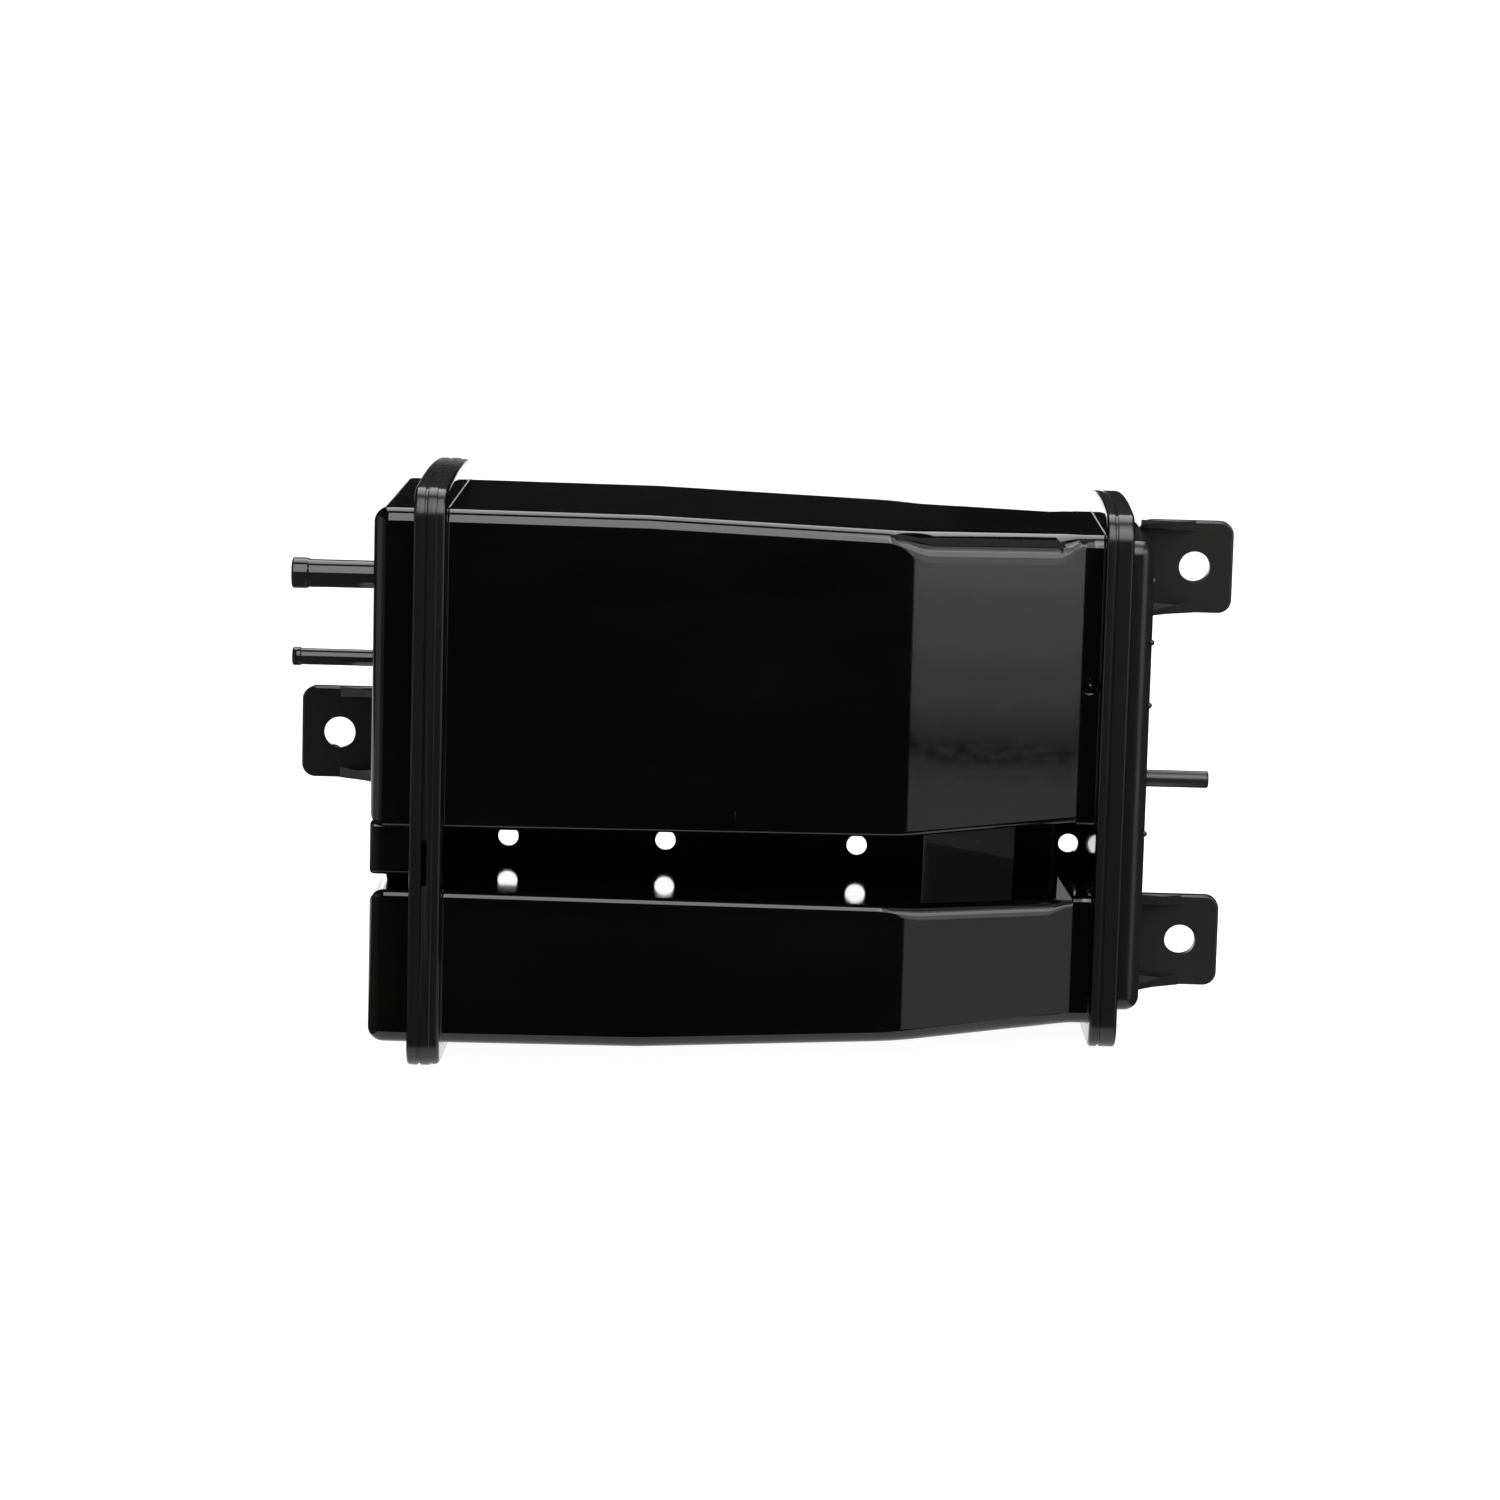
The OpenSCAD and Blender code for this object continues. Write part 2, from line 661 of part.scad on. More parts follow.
// Filter pads at both ends of each bed, and the beds
module main_port_filter() { color(pad_colour) placed() filling(main_boxes, port_pad_x, bed_x); }
module second_port_filter() { color(pad_colour) placed() filling(second_boxes, port_pad_x, bed_x); }
module main_carbon_bed() { color(carbon_colour) placed() filling(main_boxes, bed_x, vent_pad_x); }
module second_carbon_bed() { color(carbon_colour) placed() filling(second_boxes, bed_x, vent_pad_x); }
module main_vent_filter() { color(pad_colour) placed() filling(main_boxes, vent_pad_x, plate_x); }
module second_vent_filter() { color(pad_colour) placed() filling(second_boxes, vent_pad_x, plate_x); }

// Slotted plates that the springs press against the beds
module spring_plate(boxes, end, stud_places) {
    color(grid_colour) placed() {
        difference() {
            filling(boxes, plate_x, plate_face_x);
            difference() {
                slots(plate_x, end);
                for (z = stud_places) translate([plate_x, spring_y, z])
                    rotate([0, 90, 0]) cylinder(2 * grid_t, d = spring_d + spring_wire, center = true);
            }
        }
        for (z = stud_places) stud(plate_face_x, z, 1);
    }
}

module main_spring_plate() { spring_plate(main_boxes, main_end, [spring_places[0], spring_places[1]]); }
module second_spring_plate() { spring_plate(second_boxes, second_end, [spring_places[2]]); }

module main_spring_upper() { color(spring_colour) placed() spring(spring_places[0]); }
module main_spring_lower() { color(spring_colour) placed() spring(spring_places[1]); }
module second_spring() { color(spring_colour) placed() spring(spring_places[2]); }

canister_case();
port_cap();
vent_cap();
main_port_grid();
main_port_filter();
main_carbon_bed();
main_vent_filter();
main_spring_plate();
second_port_grid();
second_port_filter();
second_carbon_bed();
second_vent_filter();
second_spring_plate();
main_spring_upper();
main_spring_lower();
second_spring();
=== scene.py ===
"""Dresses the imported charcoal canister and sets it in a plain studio.

The case and its two welded caps are modelled again here with the small moulded radii that the
gloss black plastic shows as bright lines. Everything inside stays as packed and gets a finish.
Shapes are made in millimetres in the part's own drawing frame, where X = 0 is the inner face of
the port flange, Y = 0 the front of the chambers and Z = 0 the bottom of the second chamber.
"""

import logging
import math
from abc import ABC, abstractmethod
from dataclasses import dataclass, field
from enum import Enum
from functools import cached_property, reduce

import bmesh
import bpy
from bmesh.types import BMEdge, BMesh, BMFace, BMVert
from bpy.types import ID, Material, Node, Object
from bpy.types import NodeSocket as Socket
from mathutils import Matrix, Vector

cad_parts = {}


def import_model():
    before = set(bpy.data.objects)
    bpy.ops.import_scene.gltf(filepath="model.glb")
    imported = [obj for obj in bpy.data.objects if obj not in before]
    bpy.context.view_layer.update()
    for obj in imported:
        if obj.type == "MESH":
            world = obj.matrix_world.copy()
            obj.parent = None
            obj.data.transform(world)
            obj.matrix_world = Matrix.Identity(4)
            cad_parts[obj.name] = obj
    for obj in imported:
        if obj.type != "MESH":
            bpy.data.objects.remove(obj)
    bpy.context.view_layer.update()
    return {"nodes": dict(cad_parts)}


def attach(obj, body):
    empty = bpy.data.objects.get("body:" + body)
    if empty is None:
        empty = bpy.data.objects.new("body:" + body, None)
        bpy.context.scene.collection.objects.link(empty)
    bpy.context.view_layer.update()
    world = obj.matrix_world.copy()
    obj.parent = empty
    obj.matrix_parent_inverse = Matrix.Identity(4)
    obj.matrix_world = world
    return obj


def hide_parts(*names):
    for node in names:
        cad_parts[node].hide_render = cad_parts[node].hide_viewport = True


log = logging.getLogger("canister")

Colour = tuple[float, float, float]
Place = tuple[float, float, float]
Span = tuple[float, float]
Profile = tuple[Span, ...]
Section = tuple[float, "Outline"]
Value = Socket | float | tuple[float, ...]

METRE = 0.001
ORIGIN = Vector((88.5, 45.5, -7.7))
CORNER_STEPS = 14
ARC_STEPS = 8
RING = 4 * (CORNER_STEPS + 1)
LEAST_RADIUS = 0.05
SHARP_REACH = 0.01
MERGE_DISTANCE = 0.002
FRAME_PIXELS = 1500


class Axis(Enum):
    """The way along which a loft is strung, and the two ways across it."""

    ALONG_X = (0, 1, 2)
    ALONG_Y = (1, 0, 2)


@dataclass(frozen=True)
class Outline:
    """A rectangle with round corners across an axis, in millimetres.

    The lower corners have the radius foot if it is given. Where bow is not 0 the top and bottom are
    arcs of that radius, and low and high are their peaks.
    """

    left: float
    right: float
    low: float
    high: float
    radius: float
    foot: float | None = None
    bow: float = 0.0

    def inset(self, by: float) -> "Outline":
        """Moves every side in, and the corners with them.

        Args:
            by: How far each side moves in; less than nothing moves it out.

        Returns:
            The smaller or larger outline.
        """
        foot = None if self.foot is None else max(self.foot - by, LEAST_RADIUS)
        bow = self.bow - by if self.bow else 0.0
        return Outline(self.left + by, self.right - by, self.low + by, self.high - by,
                       max(self.radius - by, LEAST_RADIUS), foot, bow)

    def point(self, seat: int) -> Span:
        """Gives one point of the outline.

        Args:
            seat: The point's number round the ring.

        Returns:
            The point's two coordinates across the axis.
        """
        corner, step = divmod(seat, CORNER_STEPS + 1)
        if self.bow:
            return self._bowed_point(corner, step)
        turn = math.radians(90 * (corner + step / CORNER_STEPS))
        radius = self.radius if corner in (0, 1) or self.foot is None else self.foot
        across = self.right - radius if corner in (0, 3) else self.left + radius
        up = self.high - radius if corner in (0, 1) else self.low + radius
        return (across + radius * math.cos(turn), up + radius * math.sin(turn))

    def _bowed_point(self, corner: int, step: int) -> Span:
        """Gives one point of an outline with bowed sides.

        Args:
            corner: The corner's number round the ring.
            step: The point's number round its corner.

        Returns:
            The point's two coordinates across the axis.
        """
        reach = (self.right - self.left) / 2 - self.radius
        lean = math.asin(reach / (self.bow - self.radius))
        drop = self.bow - (self.bow - self.radius) * math.cos(lean)
        rank = step if corner in (0, 2) else CORNER_STEPS - step
        if rank <= ARC_STEPS:
            turn = (math.pi / 2 - lean) * rank / ARC_STEPS
            across = reach + self.radius * math.cos(turn)
            sunk = drop - self.radius * math.sin(turn)
        else:
            lean *= 1 - (rank - ARC_STEPS) / (CORNER_STEPS - ARC_STEPS + 0.5)
            across = self.bow * math.sin(lean)
            sunk = self.bow * (1 - math.cos(lean))
        middle = (self.left + self.right) / 2
        return (middle + across if corner in (0, 3) else middle - across,
                self.high - sunk if corner in (0, 1) else self.low + sunk)


def crowned(left: float, right: float, low: float, high: float, radius: float,
            crown: float) -> Outline:
    """The outline of a flange whose top and bottom bow out in the middle.

    Args:
        left: The front side.
        right: The back side.
        low: The bottom at the corners.
        high: The top at the corners.
        radius: The radius of the corners.
        crown: How far the top and the bottom bow out.

    Returns:
        The outline.
    """
    half = (right - left) / 2
    bow = (half ** 2 + crown ** 2) / (2 * crown)
    return Outline(left, right, low - crown, high + crown, radius, None, bow)


def disc(across: float, up: float, radius: float) -> Outline:
    """A round outline.

    Args:
        across: The first coordinate of its middle.
        up: The second coordinate of its middle.
        radius: Its radius.

    Returns:
        The outline.
    """
    return Outline(across - radius, across + radius, up - radius, up + radius, radius)


WELD_GROOVE: Profile = ((0.0, 0.4), (0.24, 0.4), (0.3, 0.2), (0.42, 0.06), (0.6, 0.0))
PORT_FLANGE = crowned(left=-5.6, right=96.6, low=-5.6, high=157.6, radius=8.0, crown=2.1)
VENT_FLANGE = crowned(left=14.4, right=95.51, low=0.8, high=152.9, radius=8.0, crown=2.1)


def picked(geom: list, kind: type) -> list:
    """Picks out what an operator made of one kind.

    Args:
        geom: What the operator made.
        kind: The kind that is wanted, such as points.

    Returns:
        The parts of that kind.
    """
    return [part for part in geom if isinstance(part, kind)]


def extruded(bm: BMesh, edges: list[BMEdge]
             ) -> tuple[list[BMVert], list[BMEdge]]:
    """Extrudes a row of edges, and leaves the new row where the old one is.

    Args:
        bm: The mesh that holds the edges.
        edges: The row of edges.

    Returns:
        The new points and the new row of edges.
    """
    made = bmesh.ops.extrude_edge_only(bm, edges=edges)["geom"]
    verts = picked(made, BMVert)
    fresh = set(verts)
    row = [edge for edge in picked(made, BMEdge) if fresh.issuperset(edge.verts)]
    return verts, row


def edges_of(verts: list[BMVert]) -> list[BMEdge]:
    """Gives the edges of a fresh ring.

    Args:
        verts: The points of the ring.

    Returns:
        The edges.
    """
    return list({edge for vert in verts for edge in vert.link_edges})


class Loft:
    """A skin that one ring makes as it is extruded from section to section."""

    def __init__(self, bm: BMesh, axis: Axis = Axis.ALONG_X) -> None:
        """Takes the mesh that the skin goes into.

        Args:
            bm: The mesh.
            axis: The way along which the sections are strung.
        """
        self.bm = bm
        self.axis = axis
        self.seat = bm.verts.layers.int.get("seat") or bm.verts.layers.int.new("seat")

    def _seated(self, verts: list[BMVert], section: Section) -> None:
        """Moves a ring's points to their seats on a section.

        Args:
            verts: The points of the ring.
            section: The place along the axis with its outline.
        """
        along, across, up = self.axis.value
        for vert in verts:
            place = section[1].point(vert[self.seat])
            vert.co[along] = section[0]
            vert.co[across] = place[0]
            vert.co[up] = place[1]

    def skin(self, sections: list[Section]
             ) -> tuple[list[BMEdge], list[BMEdge]]:
        """Draws one ring through all the sections.

        Args:
            sections: The places along the axis with their outlines, in order.

        Returns:
            The edges of the first ring and of the last ring.
        """
        ring = bmesh.ops.create_circle(self.bm, cap_ends=False, radius=1, segments=RING)["verts"]
        for number, vert in enumerate(ring):
            vert[self.seat] = number
        first = edges_of(ring)
        self._seated(ring, sections[0])
        edges = first
        for section in sections[1:]:
            verts, edges = extruded(self.bm, edges)
            self._seated(verts, section)
        return first, edges

    def closed(self, sections: list[Section]) -> None:
        """Draws a skin through sections and closes it with a flat face at each end."""
        for ring in self.skin(sections):
            bmesh.ops.contextual_create(self.bm, geom=ring)

    def looped(self, sections: list[Section]) -> None:
        """Draws a skin through sections and joins its last ring to its first."""
        first, last = self.skin(sections)
        bmesh.ops.bridge_loops(self.bm, edges=first + last)


def flat_fill(bm: BMesh, *rings: list[BMEdge]) -> list:
    """Fills the flat face between an outer ring and the rings inside it.

    Args:
        bm: The mesh that holds the rings.
        rings: The edges of each ring.

    Returns:
        The faces and edges that were made.
    """
    edges = [edge for ring in rings for edge in ring]
    return bmesh.ops.triangle_fill(bm, use_beauty=True, use_dissolve=False, edges=edges)["geom"]


def quarter(radius: float, steps: int = 6) -> list[Span]:
    """Points of a rounded edge, from the side that it leaves to the side that it reaches.

    Args:
        radius: The radius of the edge.
        steps: How many faces go round it.

    Returns:
        Pairs of how far along and how far in each point lies.
    """
    turns = [math.radians(90 * step / steps) for step in range(steps + 1)]
    return [(radius * math.sin(turn), radius * (1 - math.cos(turn))) for turn in turns]


def hollow_quarter(radius: float) -> list[Span]:
    """Points of a rounded inner corner, from the face that it leaves to the wall that it reaches.

    Args:
        radius: The radius of the corner.

    Returns:
        Pairs of how far from the face and how far off the wall each point lies.
    """
    return [(out, radius - along) for along, out in quarter(radius)]


class NodePaint:
    """A node material in the making."""

    def __init__(self, name: str) -> None:
        """Starts a material with one shader.

        Args:
            name: The material's name.
        """
        self.material = bpy.data.materials.new(name)
        self.material.use_nodes = True
        self.tree = self.material.node_tree
        self.shader = self.tree.nodes["Principled BSDF"]

    @cached_property
    def place(self) -> Socket:
        """The object's own coordinates."""
        return self._node("TexCoord").outputs["Object"]

    def _set(self, socket: Socket, value: Value) -> None:
        """Gives an input its value.

        Args:
            socket: The input.
            value: The value, or the output that gives it.
        """
        if isinstance(value, Socket):
            self.tree.links.new(value, socket)
        else:
            socket.default_value = value

    def _node(self, kind: str, **inputs: Value) -> Node:
        """Adds a node.

        Args:
            kind: The node's kind, without the words that all kinds start with.
            inputs: What its inputs get, named with an underscore for each blank.

        Returns:
            The node.
        """
        node = self.tree.nodes.new(f"ShaderNode{kind}")
        for name, value in inputs.items():
            self._set(node.inputs[name.replace("_", " ")], value)
        return node

    def noise(self, scale: float, detail: float, stretch: Place = (1, 1, 1)) -> Socket:
        """Adds clouds from 0 to 1, by their fineness per metre, layers and stretch."""
        place = self._node("Mapping", Vector=self.place, Scale=stretch).outputs["Vector"]
        return self._node("TexNoise", Vector=place, Scale=scale, Detail=detail).outputs["Fac"]

    def cells(self, scale: float) -> Socket:
        """Adds packed grains, so many per metre, as the distance from their middles."""
        return self._node("TexVoronoi", Vector=self.place, Scale=scale).outputs["Distance"]

    def ranged(self, value: Socket, source: Span, target: Span) -> Socket:
        """Maps one range of a value onto another.

        Args:
            value: The value.
            source: The range that counts.
            target: The range that it is mapped onto.

        Returns:
            The mapped value.
        """
        node = self._node("MapRange", Value=value, From_Min=source[0], From_Max=source[1],
                          To_Min=target[0], To_Max=target[1])
        return node.outputs["Result"]

    def _sum(self, kind: str, *values: Value) -> Socket:
        """Adds one step of arithmetic.

        Args:
            kind: The step.
            values: What it works on.

        Returns:
            The result.
        """
        node = self._node("Math")
        node.operation = kind
        for socket, value in zip(node.inputs, values):
            self._set(socket, value)
        return node.outputs["Value"]

    def _length(self) -> Socket:
        """The place along the canister's length."""
        return self._node("SeparateXYZ", Vector=self.place).outputs["X"]

    def off_middle(self) -> Socket:
        """Adds the distance from the middle of the canister along its length, and returns it."""
        return self._sum("ABSOLUTE", self._length())

    def within(self, start: float, stop: float, soft: float = 0.0004) -> Socket:
        """Adds a band across the canister.

        Args:
            start: Where the band starts along the length.
            stop: Where it stops.
            soft: How far its borders fade.

        Returns:
            The value 1 in the band and 0 outside it.
        """
        off = self._sum("ABSOLUTE", self._sum("SUBTRACT", self._length(), (start + stop) / 2))
        half = (stop - start) / 2
        return self.ranged(off, (half, half + soft), (1, 0))

    def higher(self, first: Socket, second: Socket) -> Socket:
        """Takes the higher of two values."""
        return self._sum("MAXIMUM", first, second)

    def mixed(self, value: Socket, first: Socket | Colour, second: Colour, source: Span) -> Socket:
        """Mixes two colours.

        Args:
            value: The pattern that chooses between them.
            first: The colour where the pattern is low, or what gives it.
            second: The colour where it is high.
            source: The stretch of the pattern over which the colour changes.

        Returns:
            The mixed colour.
        """
        node = self._node("Mix", Factor=self.ranged(value, source, (0, 1)))
        node.data_type = "RGBA"
        colours = [socket for socket in node.inputs if socket.type == "RGBA"]
        for socket, colour in zip(colours, (first, second)):
            self._set(socket, (*colour, 1) if isinstance(colour, tuple) else colour)
        return next(socket for socket in node.outputs if socket.type == "RGBA")

    def feed(self, socket: str, value: Value) -> None:
        """Gives one of the shader's inputs its value, or links it to what gives it."""
        self._set(self.shader.inputs[socket], value)

    def bump(self, layers: list[tuple[Socket, float, float]]) -> None:
        """Raises the surface by one pattern after the other.

        Args:
            layers: Each pattern with its strength and its height in metres.
        """
        normal = None
        for value, strength, height in layers:
            node = self._node("Bump", Strength=strength, Distance=abs(height), Height=value)
            node.invert = height < 0
            if normal is not None:
                self._set(node.inputs["Normal"], normal)
            normal = node.outputs["Normal"]
        self.feed("Normal", normal)


@dataclass(frozen=True)
class Finish(ABC):
    """A material with a colour that clouds over into a shade."""

    name: str
    colour: Colour
    shade: Colour

    @abstractmethod
    def material(self) -> Material:
        """Builds the node material and returns it."""


@dataclass(frozen=True)
class ShellPlastic(Finish):
    """Gloss black moulded nylon, satin on weld flanges and vent cap, paler on ears and ports."""

    name: str = "shell_nylon"
    colour: Colour = (0.0012, 0.0012, 0.0012)
    shade: Colour = (0.0022, 0.0022, 0.0021)
    satin: Colour = (0.0042, 0.0042, 0.004)
    pale_ends: Colour = (0.0115, 0.0115, 0.011)
    satin_bands: Profile = ((-0.0977, -0.0892), (0.0962, 0.16))
    pale_ends_from: Span = (0.106, 0.1105)
    gloss_roughness: Span = (0.045, 0.1)
    satin_roughness: float = 0.27
    refraction: float = 1.52

    def material(self) -> Material:
        """Builds the node material.

        Returns:
            The material.
        """
        paint = NodePaint(self.name)
        flow = paint.noise(scale=38, detail=4, stretch=(0.35, 1, 1))
        dull = reduce(paint.higher, [paint.within(*band) for band in self.satin_bands])
        colour = paint.mixed(flow, self.colour, self.shade, (0.42, 0.72))
        colour = paint.mixed(dull, colour, self.satin, (0, 1))
        # A paler base colour on the ears and hose ports beyond the cap ends, chosen by distance from
        # the middle along the length.
        colour = paint.mixed(paint.off_middle(), colour, self.pale_ends, self.pale_ends_from)
        paint.feed("Base Color", colour)
        scuff = paint.noise(scale=420, detail=5, stretch=(0.2, 1, 1))
        gloss = paint.ranged(scuff, (0.35, 0.75), self.gloss_roughness)
        satin = paint.ranged(dull, (0, 1), (0, self.satin_roughness))
        paint.feed("Roughness", paint.higher(gloss, satin))
        grain = paint.noise(scale=2600, detail=3)
        sink = paint.noise(scale=26, detail=2, stretch=(0.25, 1, 0.8))
        paint.bump([(grain, 0.03, 0.00004), (sink, 0.04, 0.0012)])
        paint.feed("IOR", self.refraction)
        return paint.material


@dataclass(frozen=True)
class GridPlastic(Finish):
    """Dark grey moulded plastic of the grids and spring plates."""

    name: str = "grid_plastic"
    colour: Colour = (0.085, 0.086, 0.09)
    shade: Colour = (0.12, 0.12, 0.125)

    def material(self) -> Material:
        """Builds the node material.

        Returns:
            The material.
        """
        paint = NodePaint(self.name)
        cloud = paint.noise(scale=90, detail=4)
        paint.feed("Base Color", paint.mixed(cloud, self.colour, self.shade, (0.35, 0.7)))
        paint.feed("Roughness", paint.ranged(cloud, (0.3, 0.7), (0.45, 0.62)))
        paint.bump([(paint.noise(scale=1500, detail=3), 0.2, 0.0001)])
        return paint.material


@dataclass(frozen=True)
class FilterFelt(Finish):
    """Pale needled felt."""

    name: str = "filter_felt"
    colour: Colour = (0.66, 0.62, 0.53)
    shade: Colour = (0.8, 0.77, 0.69)

    def material(self) -> Material:
        """Builds the node material.

        Returns:
            The material.
        """
        paint = NodePaint(self.name)
        fibre = paint.noise(scale=900, detail=6, stretch=(1, 0.3, 1))
        paint.feed("Base Color", paint.mixed(fibre, self.colour, self.shade, (0.3, 0.7)))
        paint.bump([(fibre, 0.8, 0.0006)])
        paint.feed("Roughness", 0.95)
        paint.feed("Sheen Weight", 0.3)
        return paint.material


@dataclass(frozen=True)
class CarbonPellets(Finish):
    """Packed black carbon pellets, darkened by painted shade in the gaps between them and paled by
    painted light on their domed tops.
    """

    name: str = "carbon_pellets"
    colour: Colour = (0.012, 0.012, 0.012)
    shade: Colour = (0.05, 0.05, 0.052)

    def material(self) -> Material:
        """Builds the node material.

        Returns:
            The material.
        """
        paint = NodePaint(self.name)
        pellet = paint.cells(scale=420)
        # Painted shade and light: the colour runs from the pale shade at each pellet's middle to the
        # dark colour at its border, the same pattern that domes the pellets in the bump below, so
        # the gaps are painted darker and the tops paler.
        paint.feed("Base Color", paint.mixed(pellet, self.shade, self.colour, (0.05, 0.7)))
        paint.bump([(pellet, 0.9, -0.0015)])
        paint.feed("Roughness", 0.82)
        return paint.material


@dataclass(frozen=True)
class SpringSteel(Finish):
    """Drawn spring wire."""

    name: str = "spring_steel"
    colour: Colour = (0.52, 0.53, 0.55)
    shade: Colour = (0.66, 0.67, 0.69)

    def material(self) -> Material:
        """Builds the node material.

        Returns:
            The material.
        """
        paint = NodePaint(self.name)
        draw = paint.noise(scale=700, detail=4, stretch=(3, 0.3, 0.3))
        paint.feed("Base Color", paint.mixed(draw, self.colour, self.shade, (0.3, 0.7)))
        paint.feed("Roughness", paint.ranged(draw, (0.3, 0.7), (0.24, 0.4)))
        paint.feed("Metallic", 1)
        return paint.material


def linked(name: str, data: ID) -> Object:
    """Makes an object and puts it in the scene.

    Args:
        name: The object's name.
        data: Its mesh, light or camera.

    Returns:
        The object.
    """
    made = bpy.data.objects.new(name, data)
    bpy.context.scene.collection.objects.link(made)
    return made


class Piece:
    """A mesh in the making that ends as one object."""

    def __init__(self, name: str) -> None:
        """Starts an empty mesh for the object of that name."""
        self.name = name
        self.bm = bmesh.new()

    def placed(self, sharp_degrees: float = 21) -> Object:
        """Closes the mesh, puts it in the canister's frame and makes it an object.

        Args:
            sharp_degrees: Edges that turn by more than this stay sharp.

        Returns:
            The object.
        """
        bmesh.ops.remove_doubles(self.bm, verts=self.bm.verts, dist=MERGE_DISTANCE)
        bmesh.ops.recalc_face_normals(self.bm, faces=self.bm.faces)
        shift = Matrix.Scale(METRE, 4) @ Matrix.Translation(-ORIGIN)
        bmesh.ops.transform(self.bm, matrix=shift, verts=self.bm.verts)
        seat = self.bm.verts.layers.int.get("seat")
        if seat is not None:
            self.bm.verts.layers.int.remove(seat)
        for face in self.bm.faces:
            face.smooth = True
        mesh = bpy.data.meshes.new(self.name)
        self.bm.to_mesh(mesh)
        self.bm.free()
        mesh.set_sharp_from_angle(angle=math.radians(sharp_degrees))
        return linked(self.name, mesh)


def carved(piece: Object, block: Object) -> None:
    """Cuts a block out of a piece and removes the block.

    Args:
        piece: The piece to cut.
        block: What is cut away.
    """
    modifier = piece.modifiers.new("cut", "BOOLEAN")
    modifier.operation = "DIFFERENCE"
    modifier.solver = "EXACT"
    modifier.object = block
    graph = bpy.context.evaluated_depsgraph_get()
    cut = bpy.data.meshes.new_from_object(piece.evaluated_get(graph))
    piece.modifiers.remove(modifier)
    piece.data = cut
    bpy.data.objects.remove(block)


def joined(piece: Object, other: Object) -> None:
    """Adds another object's mesh to a piece and removes that object.

    Args:
        piece: The piece that grows.
        other: The object that it takes in.
    """
    bm = bmesh.new()
    bm.from_mesh(piece.data)
    bm.from_mesh(other.data)
    bm.to_mesh(piece.data)
    bm.free()
    bpy.data.objects.remove(other)


@dataclass(frozen=True)
class Chamber:
    """One drafted carbon chamber of the case."""

    low: float
    high: float
    low_taper: float
    high_taper: float
    gap_side_low: bool
    depth: float = 91.0
    wall: float = 2.5
    edge: float = 4.2
    gap_edge: float = 2.0
    facet_top: float = 9.0
    straight: float = 56.0
    facet: float = 128.5
    facet_back: float = 20.0
    collar: float = 178.5
    collar_bend: float = 0.55
    draft: float = math.tan(math.radians(0.35))
    round_lead: float = 6.5
    round_run: float = 13.0
    square_lag: float = 0.6
    square_run: float = 7.5

    def _drawn_in(self, x: float, even_to: float, taper: float) -> float:
        """How far a wall has come in.

        Args:
            x: The place along the case.
            even_to: Where the wall's even draft ends.
            taper: How far the wall has come in at the collar.

        Returns:
            The distance from where the wall starts.
        """
        if x <= even_to:
            return x * self.draft
        start = even_to * self.draft
        share = (min(x, self.collar) - even_to) / (self.collar - even_to)
        return start + (taper - start) * share

    def _bent(self, past: float, reach: float) -> float:
        """How far back a wall lies that bends from level to the facet's slope.

        Args:
            past: The distance past the corner of the bend.
            reach: How far the bend reaches to each side of the corner.

        Returns:
            The distance behind the level side.
        """
        slope = self.facet_back / (self.collar - self.facet)
        if past <= -reach:
            return 0.0
        if past >= reach:
            return slope * past
        return slope * (past + reach) ** 2 / (4 * reach)

    def _front(self, x: float, reach: float) -> float:
        """How far back the front wall lies at x, with bends of the reach given."""
        bend_back = self._bent(x - self.collar, reach * self.collar_bend)
        return self._bent(x - self.facet, reach) - bend_back

    def _softened(self, x: float) -> float:
        """How far the upper edge has taken the facet's radius.

        Args:
            x: The place along the case.

        Returns:
            A share from 0 to 1.
        """
        rising = (x - self.facet + self.round_lead) / self.round_run
        falling = (self.collar - x - self.square_lag) / self.square_run
        share = max(min(rising, falling, 1.0), 0.0)
        return share * share * (3 - 2 * share)

    def outline(self, x: float, reach: float = SHARP_REACH) -> Outline:
        """The outer walls at x.

        Args:
            x: The place along the case.
            reach: How far the front wall's bends reach.

        Returns:
            The outline.
        """
        even, edges = [self.facet, self.straight], [self.gap_edge, self.edge]
        if not self.gap_side_low:
            even.reverse()
            edges.reverse()
        return Outline(left=self._front(x, reach),
                       right=self.depth - min(x, self.collar) * self.draft,
                       low=self.low + self._drawn_in(x, even[0], self.low_taper),
                       high=self.high - self._drawn_in(x, even[1], self.high_taper),
                       radius=edges[1] + self._softened(x) * (self.facet_top - edges[1]),
                       foot=edges[0])


